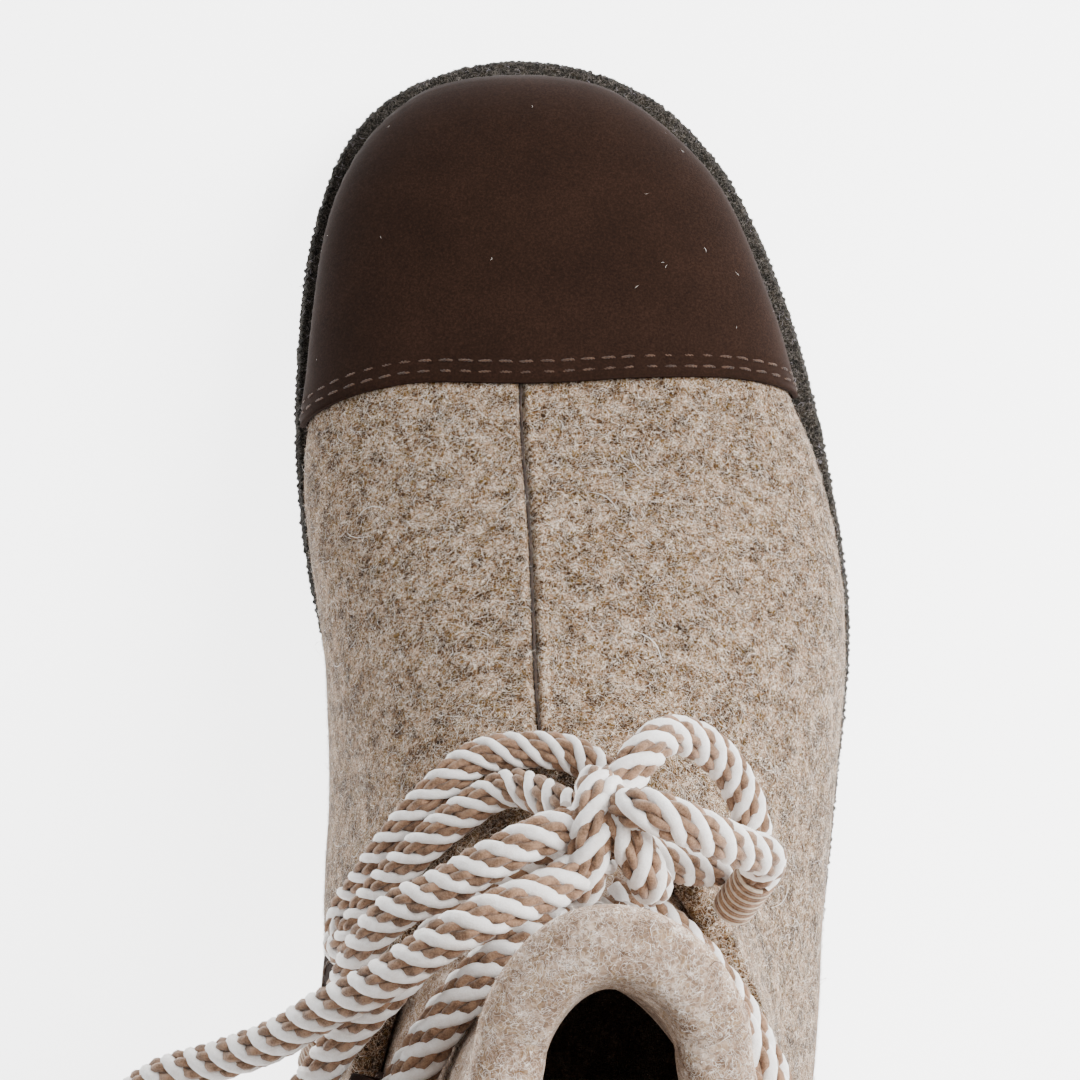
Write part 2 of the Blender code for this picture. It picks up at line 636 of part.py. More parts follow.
# ----------------------------------------------------------------------------- upper
TURNS = np.linspace(0.0, 2.0 * math.pi, 48, endpoint=False)
UPPER_PLACES = np.concatenate(([-1.0, -0.6], np.linspace(0.0, loop_place("topline"), 16)))
HEM_PLACES = loop_place("cuff") + (1.0 - loop_place("cuff")) * np.array((HEM_FROM, HEM_TO))
SHAFT_PLACES = np.concatenate((
    UPPER_PLACES[-3:], np.linspace(loop_place("topline"), HEM_PLACES[0], 7)[1:], [HEM_PLACES[1], 1.0]))
CAP_ROWS, CAP_COLUMNS = 12, 13          # loops and turns that the toe cap is cut from


def stack(places, turns, out):
    return np.array([layer(np.full(turns.shape, s), turns, np.full(turns.shape, out)) for s in places])


def make_upper():
    """The felt shell of vamp and quarters, open at its topline and underneath."""
    outer, inner = stack(UPPER_PLACES, TURNS, UPPER_OUT), stack(UPPER_PLACES, TURNS, UPPER_IN)
    inner[0, :, 2] = outer[0, :, 2]
    shell = tube_wall("upper", outer, inner, FELT_BEIGE)
    hole = bpy.data.meshes.new("eyelet_cutter")
    shape = bmesh.new()
    width = (EYELET_BARREL / 2.0 + GAP) * MM
    bmesh.ops.create_cone(shape, cap_ends=True, segments=16, radius1=width, radius2=width,
                          depth=4.0 * FELT * MM, matrix=eyelet_frame(-FELT / 2.0))
    shape.to_mesh(hole)
    shape.free()
    add_boolean(shell, add_object("eyelet_cutter", hole, STEEL))


def make_shaft():
    """The felt ankle part, which stands in the upper and is folded in at the collar."""
    outer = stack(SHAFT_PLACES, TURNS, SHAFT_OUT)
    inside = SHAFT_IN - HEM * ease(SHAFT_PLACES, *HEM_PLACES)
    inner = np.vstack([stack([s], TURNS, out) for s, out in zip(SHAFT_PLACES, inside)])
    tube_wall("shaft", outer, inner, FELT_BEIGE)


def cap_block():
    """Block over the toe, whose rear face is the rear edge of the toe cap."""
    low, high, front = 5.0, 60.0, 145.0
    across = column(CAP_EDGE, 1)
    xs = np.arange(across[0], across[-1] + 1.0, CAP_EDGE_STEP)
    ys = smooth_rows(across, column(CAP_EDGE, 2))(xs)
    plan = [*zip(xs, ys), (across[-1], front), (across[0], front)]
    points = [(float(x), float(y), z) for z in (low, high) for x, y in plan]
    count = len(plan)
    faces = [list(range(count))[::-1], list(range(count, 2 * count))]
    for k in range(count):
        nxt = (k + 1) % count
        faces.append((k, nxt, nxt + count, k + count))
    return add_object("cap_block", mesh_of("cap_block", points, faces), LEATHER_BROWN, 0.0)


def make_toe_cap():
    """Leather over the toe, cut off straight behind, from a layer over the upper."""
    turns = np.concatenate((TURNS[-CAP_COLUMNS:], TURNS[:CAP_COLUMNS + 1]))
    places = UPPER_PLACES[:CAP_ROWS]
    outer, inner = stack(places, turns, COVER_OUT), stack(places, turns, COVER_IN)
    for face in (outer, inner):
        face[0, :, 2] = sole_top(face[0, :, 1]) + SOFT_GAP
    cap = sheet("toe_cap", outer, inner, LEATHER_BROWN)
    add_boolean(cap, cap_block(), "INTERSECT")


# ------------------------------------------------------------- lace tab and eyelet
def make_lace_tab():
    """Leather tab with rounded corners on the medial side, behind the eyelet."""
    share = np.linspace(-1.0, 1.0, 7)
    a, b = np.meshgrid(share, share, indexing="ij")
    y = TAB_Y + TAB_LENGTH / 2.0 * a * np.sqrt(1.0 - TAB_ROUNDING * b * b)
    z = TAB_Z + TAB_HEIGHT / 2.0 * b * np.sqrt(1.0 - TAB_ROUNDING * a * a)
    outer = on_form(y, z, MEDIAL, COVER_OUT)
    inner = on_form(y, z, MEDIAL, COVER_IN)
    sheet("lace_tab", outer, inner, LEATHER_BROWN)


def eyelet_frame(out):
    """Frame on the form at the eyelet, with its Z axis pointing out of the wall."""
    s, turn = locate(EYELET_Y, EYELET_Z, MEDIAL)
    point, normal = layer(s, turn, out), Vector(form_normal(s, turn))
    return Matrix.Translation(Vector(point) * MM) @ normal.to_track_quat("Z", "Y").to_matrix().to_4x4()


def make_eyelet():
    """Metal eyelet, turned: a flange on each face of the felt and a barrel through it."""
    hole, barrel, flange = EYELET_HOLE / 2.0, EYELET_BARREL / 2.0, EYELET_FLANGE / 2.0
    face, back = EYELET_SEAT, -FELT - EYELET_SEAT
    profile = (
        (hole, face + EYELET_SHEET * 0.6), (hole + 0.7, face + EYELET_SHEET),
        (flange - 0.7, face + EYELET_SHEET), (flange, face + 0.2), (flange - 0.2, face),
        (barrel, face), (barrel, back), (flange - 0.6, back), (flange - 0.6, back - 0.5),
        (hole, back - 0.5),
    )
    sides = 20
    frame = eyelet_frame(0.0)
    points, faces = [], []
    for k in range(sides):
        angle = 2.0 * math.pi * k / sides
        for radius, height in profile:
            local = Vector((radius * math.cos(angle), radius * math.sin(angle), height))
            points.append(frame @ (local * MM) / MM)
    count = len(profile)
    for k in range(sides):
        for j in range(count):
            a, b = k * count + j, k * count + (j + 1) % count
            nxt = ((k + 1) % sides - k) * count
            faces.append((a, b, b + nxt, a + nxt))
    add_object("eyelet", mesh_of("eyelet", points, faces), STEEL)


# ------------------------------------------------------------------------------ rope
def rope(name, points):
    """A rope through the points: a poly curve with a round bevel and filled ends."""
    curve = bpy.data.curves.new(name, "CURVE")
    curve.dimensions = "3D"
    curve.bevel_depth = ROPE / 2.0 * MM
    curve.bevel_resolution = 2
    curve.use_fill_caps = True
    run = curve.splines.new("POLY")
    run.points.add(len(points) - 1)
    for point, place in zip(run.points, points):
        point.co = (*(place * MM), 1.0)
    curve.materials.append(ROPE_TAN)
    bpy.context.scene.collection.objects.link(bpy.data.objects.new(name, curve))


def make_wraps():
    """The rope's two turns round the ankle, side by side, both ends at the knot."""
    height = SHAFT_OUT + 2.4 * SOFT_GAP + ROPE / 2.0
    line = []
    for turn in np.arange(WRAP_START, WRAP_END + 0.5) * TURNS[1]:
        rise = WRAP_FRONT_Z - (WRAP_FRONT_Z - WRAP_BACK_Z) * (1.0 - math.cos(turn)) / 2.0
        z = rise - WRAP_PITCH * (turn / (2.0 * math.pi) - 1.0)
        low, high = loop_place("instep"), 1.0
        for _ in range(40):
            s = (low + high) / 2.0
            if form_yz(s, turn)[1] < z:
                low = s
            else:
                high = s
        line.append(layer(s, turn, height))
    rope("lace_wraps", line)


def make_bars():
    """The rope over the instep to the eyelet and back, as one bent length."""
    line = [on_form(y, z, side, clear + ROPE / 2.0) for _, side, y, z, clear in BAR]
    rope("lace_bars", evenly(smooth_line([BAR_START, *line, BAR_END]), BAR_STEP))


def make_knot():
    """The knot's outer shape, as a rounded lump."""
    shape = bmesh.new()
    bmesh.ops.create_uvsphere(shape, u_segments=16, v_segments=10, radius=MM)
    bmesh.ops.scale(shape, verts=shape.verts, vec=KNOT_SIZE)
    bmesh.ops.translate(shape, verts=shape.verts, vec=KNOT * MM)
    mesh = bpy.data.meshes.new("lace_knot")
    shape.to_mesh(mesh)
    shape.free()
    add_object("lace_knot", mesh, ROPE_TAN)


def make_tip(name, points):
    """Thread whipping that carries on past the end of a rope."""
    end, before = Vector(points[-1]), Vector(points[-2])
    along = (end - before).normalized()
    shape = bmesh.new()
    middle = end + along * (GAP + TIP_LENGTH / 2.0)
    frame = Matrix.Translation(middle * MM) @ along.to_track_quat("Z", "Y").to_matrix().to_4x4()
    bmesh.ops.create_cone(shape, cap_ends=True, segments=12, radius1=TIP_WIDTH / 2.0 * MM,
                          radius2=TIP_WIDTH / 2.0 * MM, depth=TIP_LENGTH * MM, matrix=frame)
    mesh = bpy.data.meshes.new(name)
    shape.to_mesh(mesh)
    shape.free()
    add_object(name, mesh, THREAD)


def leave_knot(route):
    """The part of a smooth line through the route that lies outside the knot."""
    line = smooth_line(route)
    reach = np.array(KNOT_SIZE) + KNOT_MARGIN
    outside = np.linalg.norm((line - np.array(KNOT)) / reach, axis=1) > 1.0
    return line[outside]


def make_bow():
    rope("lace_loop_left", evenly(leave_knot(LOOP_LEFT), LOOP_STEP))
    rope("lace_loop_right", evenly(leave_knot(LOOP_RIGHT), LOOP_STEP))
    for name, route in (("left", END_LEFT), ("right", END_RIGHT)):
        points = evenly(leave_knot(route), LOOP_STEP)
        rope("lace_end_" + name, points)
        make_tip("lace_tip_" + name, points)


def make_keeper():
    """Leather strap that crosses the rope on the medial side of the ankle."""
    bulge = SHAFT_OUT + 3.0 * SOFT_GAP + ROPE
    foot = SHAFT_OUT + GAP
    low, high = KEEPER_LOW + KEEPER_FOOT, KEEPER_HIGH - KEEPER_FOOT
    zs = np.array([KEEPER_LOW, low, low + KEEPER_RISE, high - KEEPER_RISE, high, KEEPER_HIGH])
    rise = np.array([foot, foot, bulge, bulge, foot, foot])
    ys = KEEPER_Y + KEEPER_LENGTH * np.linspace(-0.5, 0.5, 4)
    y, z = np.meshgrid(ys, zs, indexing="ij")
    inner = on_form(y, z, MEDIAL, np.broadcast_to(rise, y.shape))
    outer = on_form(y, z, MEDIAL, np.broadcast_to(rise, y.shape) + LEATHER)
    sheet("rope_keeper", outer, inner, LEATHER_BROWN)


# ------------------------------------------------------------------------------ build
for old in list(bpy.data.objects):
    bpy.data.objects.remove(old, do_unlink=True)

RUBBER = material("rubber_dark", (0.045, 0.041, 0.036), 0.85)
RIM_WOOL = material("sole_edge_grey", (0.075, 0.070, 0.060), 0.95)
FELT_BEIGE = material("felt_beige", (0.38, 0.27, 0.19), 0.95)
INSOLE_FELT = material("felt_insole", (0.16, 0.13, 0.11), 0.95)
LEATHER_BROWN = material("leather_brown", (0.032, 0.015, 0.010), 0.65)
STEEL = material("metal_eyelet", (0.33, 0.33, 0.33), 0.35, 1.0)
ROPE_TAN = material("rope_tan", (0.44, 0.29, 0.19), 0.9)
THREAD = material("thread_tan", (0.34, 0.21, 0.13), 0.8)

make_outsole()
make_midsole()
make_insole()
make_upper()
make_shaft()
make_toe_cap()
make_lace_tab()
make_eyelet()
make_wraps()
make_bars()
make_knot()
make_bow()
make_keeper()
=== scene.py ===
import math

import bmesh
import bpy
import numpy as np
from mathutils import Matrix, Vector, noise


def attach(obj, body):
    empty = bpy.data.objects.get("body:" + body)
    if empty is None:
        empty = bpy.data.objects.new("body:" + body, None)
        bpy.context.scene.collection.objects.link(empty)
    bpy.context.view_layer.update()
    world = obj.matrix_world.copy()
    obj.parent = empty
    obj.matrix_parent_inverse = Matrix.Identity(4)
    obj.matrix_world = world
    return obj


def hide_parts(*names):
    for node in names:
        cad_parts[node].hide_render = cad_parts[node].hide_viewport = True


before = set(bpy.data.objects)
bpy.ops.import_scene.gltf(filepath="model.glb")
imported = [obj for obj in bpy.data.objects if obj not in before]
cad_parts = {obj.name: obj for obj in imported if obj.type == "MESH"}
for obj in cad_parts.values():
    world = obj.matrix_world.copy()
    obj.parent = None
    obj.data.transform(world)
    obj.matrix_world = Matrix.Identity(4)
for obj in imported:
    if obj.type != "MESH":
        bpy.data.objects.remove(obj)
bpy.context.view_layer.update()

MM = 0.001                      # the sizes and tables below are in millimetres
MEDIAL, LATERAL = -1.0, 1.0
HEEL_X = -2.0                   # middle of the heel, across the shoe
FELT, LEATHER, INSOLE, ROPE = 4.2, 1.4, 4.0, 5.2
GAP, SOFT_GAP = 0.3, 0.45
PATH_STEP = 0.8                 # between points along the rope

# ---- the form of the boot ----
RIM = (
    # outer edge of the sole: x, y
    (-10.5, 133.0), (-32.2, 127.6), (-43.2, 118.0), (-50.2, 101.0), (-53.2, 78.0), (-53.3, 56.0),
    (-50.8, 34.0), (-45.2, 10.0), (-38.2, -24.0), (-35.8, -62.0), (-36.6, -96.0), (-26.5, -124.0),
    (HEEL_X, -133.0), (22.5, -124.0), (34.0, -98.0), (43.2, -56.0), (49.8, -12.0), (53.6, 22.0),
    (51.2, 48.0), (43.8, 82.0), (30.4, 112.0), (13.4, 127.4),
)
SOLE = (
    # y, joint of outsole and midsole, top
    (-133.0, 11.0, 18.6), (-118.0, 9.6, 17.8), (-55.0, 8.8, 16.2), (-25.0, 8.4, 15.0),
    (5.0, 7.2, 14.2), (62.0, 6.8, 14.0), (98.0, 8.6, 15.4), (133.0, 14.2, 19.8),
)
LEDGE = (
    # y, medial, lateral: how far the widest line stands inside the edge of the sole
    (133.0, 8.8, 8.8), (122.0, 9.6, 9.9), (102.0, 7.9, 8.8), (68.0, 6.6, 8.5),
    (48.0, 4.0, 5.6), (20.0, 2.4, 4.6), (-4.0, -1.4, 3.6),
    (-32.0, -6.0, 3.4), (-62.0, -6.4, 2.0), (-96.0, -3.0, -1.0), (-133.0, 0.8, 0.8),
)
FEATHER_INSET, FEATHER_LEAST = 1.8, 3.2
SIDES_BLEND = 12.0              # half the breadth over which medial turns into lateral
FOOT = (
    # y, height of the widest line, fullness of the arch, x of the ridge
    (133.0, 27.0, 2.2, -9.0), (112.0, 27.0, 2.5, -9.0), (98.0, 27.0, 2.8, -9.0),
    (60.0, 27.0, 2.5, -9.0),
    (30.0, 27.5, 2.1, -7.2), (0.0, 28.0, 1.7, -6.0), (-35.0, 28.5, 1.5, -3.0),
    (-133.0, 31.0, 1.7, HEEL_X),
)
SHAFT = (
    # z, half breadth, x of the front, fullness of the nose: medial, lateral, pinch
    (40.0, 37.5, -6.0, 1.8, 1.8, 0.0), (68.0, 32.5, -4.0, 1.8, 1.8, 0.0),
    (90.0, 34.0, -1.5, 2.1, 2.1, 0.0), (104.0, 34.5, 0.6, 1.5, 1.6, 0.0),
    (128.0, 35.5, 1.3, 1.5, 1.5, 0.55), (152.0, 38.0, 1.2, 1.6, 1.2, 1.0),
)
BROADEST, BACK = 0.62, 2.2
OVER_VAMP_FROM, OVER_VAMP_TO, HEEL_FROM, HEEL_TO = 80.0, 98.0, 60.0, 120.0
HEM, HEM_FROM, HEM_TO = 3.2, 0.4, 0.6
PINCH_END, PINCH_NOSE, PINCH_MEDIAL, PINCH_LATERAL, PINCH_GONE = 0.15, 1.8, 0.46, 0.52, 0.45
LOOPS = (
    # name, front y, front z, back y, back z, dip at the sides
    ("widest line", 124.2, 27.0, -132.2, 31.0, 0.0), ("toe crown", 119.2, 36.0, -132.6, 34.0, 0.0),
    ("toe top", 109.5, 42.0, -132.7, 38.0, 0.0), ("toe box", 93.0, 45.6, -132.5, 43.0, 0.0),
    ("cap edge", 60.0, 48.6, -132.0, 52.0, 0.5), ("vamp", 30.0, 62.0, -130.8, 62.0, 2.0),
    ("instep", 6.0, 76.0, -129.0, 74.0, 4.0), ("topline", -12.0, 89.0, -126.8, 89.0, 5.5),
    ("cinch", -22.5, 104.0, -125.0, 104.0, 2.0), ("cuff", -19.0, 126.0, -127.5, 127.0, 1.0),
    ("collar", -12.5, 150.0, -131.0, 152.0, 3.0),
)
LEAN_FROM, LEAN_TO = 32.0, 92.0         # heights between which foot turns into shaft
ANKLE_FROM, ANKLE_TO = 12.0, -30.0      # places along the shoe where it does so
VAMP_TOP, VAMP_SLOPE = 92.0, 0.9

UPPER_OUT, UPPER_IN = 0.0, -FELT
SHAFT_OUT = UPPER_IN - SOFT_GAP
SHAFT_IN = SHAFT_OUT - FELT
COVER_IN, COVER_OUT = SOFT_GAP, SOFT_GAP + LEATHER


def column(rows, place):
    return np.array([row[place] for row in rows], dtype=float)


def smooth_rows(xs, ys):
    """Cubic through the rows that never overshoots them, and is flat past both ends."""
    order = np.argsort(xs)
    xs, ys = np.asarray(xs, dtype=float)[order], np.asarray(ys, dtype=float)[order]
    step = np.diff(xs)
    rise = np.diff(ys) / step
    slope = np.concatenate(([rise[0]], np.zeros(len(xs) - 2), [rise[-1]]))
    same = rise[:-1] * rise[1:] > 0.0
    pair = np.where(same, rise[:-1] + rise[1:], 1.0)
    slope[1:-1] = np.where(same, 2.0 * rise[:-1] * rise[1:] / pair, 0.0)

    def value(x):
        x = np.clip(x, xs[0], xs[-1])
        k = np.clip(np.searchsorted(xs, x) - 1, 0, len(xs) - 2)
        t = (x - xs[k]) / step[k]
        low = ys[k] + t * t * (3.0 - 2.0 * t) * (ys[k + 1] - ys[k])
        bend = slope[k] * t * (1.0 - t) ** 2 - slope[k + 1] * t * t * (1.0 - t)
        return low + bend * step[k]

    return value


def graphs(rows, over=None):
    """A smooth curve for each column of a table after its first, over the first."""
    over = column(rows, 0) if over is None else over
    return [smooth_rows(over, column(rows, place)) for place in range(1, len(rows[0]))]


def halved(low, high, short):
    """The place between low and high up to which short(place) holds."""
    for _ in range(40):
        middle = (low + high) / 2.0
        below = short(middle)
        low, high = np.where(below, middle, low), np.where(below, high, middle)
    return low


def smooth_line(points, closed=False, steps=24):
    """Dense smooth curve through the points, with tangents that suit uneven spacing."""
    points = np.asarray(points, dtype=float)
    if closed:
        ring = np.vstack((points[-1], points, points[:2]))
    else:
        ring = np.vstack((2.0 * points[0] - points[1], points, 2.0 * points[-1] - points[-2]))
    chord = np.diff(ring, axis=0)
    knots = np.concatenate(([0.0], np.cumsum(np.sqrt(np.linalg.norm(chord, axis=1)))))
    before, after = np.diff(knots)[:-1, None], np.diff(knots)[1:, None]
    tangent = (chord[:-1] / before * after + chord[1:] / after * before) / (before + after)
    line = []
    for k in range(len(ring) - 3):
        for t in np.arange(steps) / steps:
            blend = t * t * (3.0 - 2.0 * t)
            bend = tangent[k] * t * (1.0 - t) ** 2 - tangent[k + 1] * t * t * (1.0 - t)
            line.append(ring[k + 1] + blend * chord[k + 1] + after[k] * bend)
    if not closed:
        line.append(points[-1])
    return np.array(line)


def steps_of(line):
    return np.linalg.norm(np.diff(line, axis=0), axis=1)


def distances(line):
    """How far along a line each of its points lies."""
    return np.concatenate(([0.0], np.cumsum(steps_of(line))))


def at_places(values, along, places):
    """The rows of values at other places along the same line."""
    return np.column_stack([np.interp(places, along, one) for one in values.T])


def evenly(line, spacing=PATH_STEP):
    """The line again, with its points evenly spaced."""
    along = distances(line)
    count = max(3, int(round(along[-1] / spacing)) + 1)
    return at_places(line, along, np.linspace(0.0, along[-1], count))


def ease(value, low, high):
    t = np.clip((value - low) / (high - low), 0.0, 1.0)
    return t * t * (3.0 - 2.0 * t)


def outward(curve):
    ahead = np.roll(curve, -1, axis=0) - np.roll(curve, 1, axis=0)
    normal = np.column_stack((ahead[:, 1], -ahead[:, 0]))
    return normal / np.linalg.norm(normal, axis=1)[:, None]


class Outline:
    """A closed outline in plan, read as x for a place y on one side."""

    def __init__(self, curve):
        front, back = int(np.argmax(curve[:, 1])), int(np.argmin(curve[:, 1]))
        self.front, self.back = curve[front, 1], curve[back, 1]
        turn = np.roll(np.arange(len(curve)), -front)
        cut = list(turn).index(back)
        self.half = {}
        for side, places in ((MEDIAL, turn[:cut + 1]), (LATERAL, np.append(turn[cut:], front))):
            self.half[side] = curve[places][np.argsort(curve[places][:, 1], kind="stable")]

    def x(self, y, side):
        near = np.interp(y, self.half[MEDIAL][:, 1], self.half[MEDIAL][:, 0])
        far = np.interp(y, self.half[LATERAL][:, 1], self.half[LATERAL][:, 0])
        return np.where(np.asarray(side) < 0.0, near, far)


RIM_CURVE = smooth_line(RIM, closed=True, steps=40)
RIM_OUT = outward(RIM_CURVE)
RIM_SIDE = ease(RIM_CURVE[:, 0], HEEL_X - SIDES_BLEND, HEEL_X + SIDES_BLEND)
ledge_medial, ledge_lateral = (side(RIM_CURVE[:, 1]) for side in graphs(LEDGE))
LEDGE_AMOUNT = ledge_medial * (1.0 - RIM_SIDE) + ledge_lateral * RIM_SIDE
FEATHER_AMOUNT = np.maximum(LEDGE_AMOUNT + FEATHER_INSET, FEATHER_LEAST)
WIDEST = Outline(RIM_CURVE - RIM_OUT * LEDGE_AMOUNT[:, None])
FEATHER = Outline(RIM_CURVE - RIM_OUT * FEATHER_AMOUNT[:, None])

sole_joint, sole_top = graphs(SOLE)
widest_z, arch_fullness, ridge_x = graphs(FOOT)
shaft_breadth, shaft_front_x, nose_medial, nose_lateral, shaft_pinch = graphs(SHAFT)

LOOP_STEPS = np.hypot(np.diff(column(LOOPS, 1)), np.diff(column(LOOPS, 2)))
LOOP_PLACES = np.concatenate(([0.0], np.cumsum(LOOP_STEPS))) / np.sum(LOOP_STEPS)
front_y, front_z, back_y, back_z, side_dip = graphs(LOOPS, LOOP_PLACES)
FINE = np.linspace(0.0, 1.0, 3000)
FRONT_Y, FRONT_Z = front_y(FINE), front_z(FINE)
BACK_Y, BACK_Z = back_y(FINE), back_z(FINE)
FOOT_RIDGE = FRONT_Z <= VAMP_TOP


def loop_place(name):
    """Height along the form, from 0 at the widest line to 1 at the collar, of a loop."""
    return LOOP_PLACES[[row[0] for row in LOOPS].index(name)]


def foot_ridge_z(y):
    ys, zs = FRONT_Y[FOOT_RIDGE][::-1], FRONT_Z[FOOT_RIDGE][::-1]
    return np.interp(y, ys, zs) + VAMP_SLOPE * np.maximum(ys[0] - y, 0.0)


def egg(u, z, side):
    """Share of the shaft's breadth in its level section, from its nose to its back."""
    medial = np.asarray(side) < 0.0
    fore = np.clip(1.0 - u / BROADEST, 0.0, 1.0)
    aft = np.clip((u - BROADEST) / (1.0 - BROADEST), 0.0, 1.0)
    full = np.sqrt(np.maximum(1.0 - fore ** np.where(medial, nose_medial(z), nose_lateral(z)), 0.0))
    near = np.clip(1.0 - u / PINCH_END, 0.0, 1.0)
    width = np.where(medial, PINCH_MEDIAL, PINCH_LATERAL)
    narrow = width * np.sqrt(1.0 - near ** PINCH_NOSE)
    narrow = narrow + (1.0 - width) * ease(u, PINCH_END, PINCH_GONE)
    front = full + (narrow - full) * shaft_pinch(z)
    return front * np.sqrt(np.maximum(1.0 - aft ** BACK, 0.0))


def form_x(y, z, side):
    """Where the form's wall stands at a place y and a height z above the widest line."""
    fore, aft = np.interp(z, FRONT_Z, FRONT_Y), np.interp(z, BACK_Z, BACK_Y)
    moved = y + (WIDEST.back - aft) * ease(-y, HEEL_FROM, HEEL_TO)
    rise = (z - widest_z(y)) / np.maximum(foot_ridge_z(y) - widest_z(y), 1.0)
    arch = np.sqrt(1.0 - np.clip(rise, 0.0, 1.0) ** arch_fullness(y))
    foot = ridge_x(y) + (WIDEST.x(moved, side) - ridge_x(y)) * arch
    u = np.clip((fore - y) / (fore - aft), 0.0, 1.0)
    middle = shaft_front_x(z) * (1.0 - u) + HEEL_X * u
    shaft = middle + side * shaft_breadth(z) * egg(u, z, side)
    over_foot = 1.0 - ease(-y, -ANKLE_FROM, -ANKLE_TO)
    over_foot = over_foot * (1.0 - ease(z, OVER_VAMP_FROM, OVER_VAMP_TO))
    lean = ease(z, LEAN_FROM, LEAN_TO) * (1.0 - over_foot)
    return foot * (1.0 - lean) + shaft * lean


def form_yz(s, turn):
    """Place and height of a loop's point; a turn of 0 is the front, pi the back."""
    u = (1.0 - np.cos(turn)) / 2.0
    y = front_y(s) * (1.0 - u) + back_y(s) * u
    line = front_z(s) * (1.0 - u) + back_z(s) * u
    low = front_z(0.0) * (1.0 - u) + back_z(0.0) * u
    sway = (widest_z(y) - low) * (1.0 - s) ** 2 - side_dip(s)
    return y, line + sway * np.sin(turn) ** 2


def form(s, turn):
    """Point of the form: s runs from -1 at the feather edge over 0 to 1 at the collar."""
    s, turn = np.broadcast_arrays(np.asarray(s, dtype=float), np.asarray(turn, dtype=float))
    side = np.where(np.sin(turn) >= 0.0, MEDIAL, LATERAL)
    y, z = form_yz(np.maximum(s, 0.0), turn)
    x = form_x(y, z, side)
    share = (y - WIDEST.back) / (WIDEST.front - WIDEST.back)
    low_y = FEATHER.back + share * (FEATHER.front - FEATHER.back)
    low_x = FEATHER.x(low_y, side)
    down = np.clip(-s, 0.0, 1.0)
    tuck = 1.0 - np.cos(down * math.pi / 2.0)
    bottom = sole_top(low_y) + GAP
    return np.stack((x + (low_x - x) * tuck, y + (low_y - y) * tuck, z + (bottom - z) * down), -1)


def form_normal(s, turn):
    near = 0.002
    across = form(s, turn + near) - form(s, turn - near)
    up = form(np.minimum(s + near, 1.0), turn) - form(np.maximum(s - near, -1.0), turn)
    normal = np.cross(across, up)
    return normal / np.linalg.norm(normal, axis=-1)[..., None]


def layer(s, turn, out):
    """Point at a distance out from the form."""
    return form(s, turn) + form_normal(s, turn) * np.asarray(out)[..., None]


def locate(y, z, side):
    """The loop and turn at which the form has a place y and a height z on one side."""
    y, z = np.broadcast_arrays(np.asarray(y, dtype=float), np.asarray(z, dtype=float))

    def turn_at(s):
        u = np.clip((front_y(s) - y) / (front_y(s) - back_y(s)), 0.0, 1.0)
        return np.arccos(1.0 - 2.0 * u)

    s = halved(np.zeros(y.shape), np.ones(y.shape), lambda s: form_yz(s, turn_at(s))[1] < z)
    return s, np.where(np.asarray(side) < 0.0, turn_at(s), 2.0 * math.pi - turn_at(s))


def on_form(y, z, side, out):
    s, turn = locate(y, z, side)
    return layer(s, turn, np.broadcast_to(out, s.shape))


# ---- node building ----
def open_socket(node):
    return next(socket for socket in node.outputs if socket.enabled)


def feed(tree, socket, value):
    """Links a node or an output to a socket, or sets its value; colours are screen colours."""
    if isinstance(value, bpy.types.Node):
        value = open_socket(value)
    if isinstance(value, bpy.types.NodeSocket):
        tree.links.new(value, socket)
    elif socket.type == "RGBA":
        socket.default_value = rgb(*value)
    else:
        socket.default_value = value


def rgb(red, green, blue):
    """Linear colour of a screen colour from 0 to 255."""
    return tuple(((c / 255.0 + 0.055) / 1.055) ** 2.4 if c > 10 else c / 3295.0
                 for c in (red, green, blue)) + (1.0,)


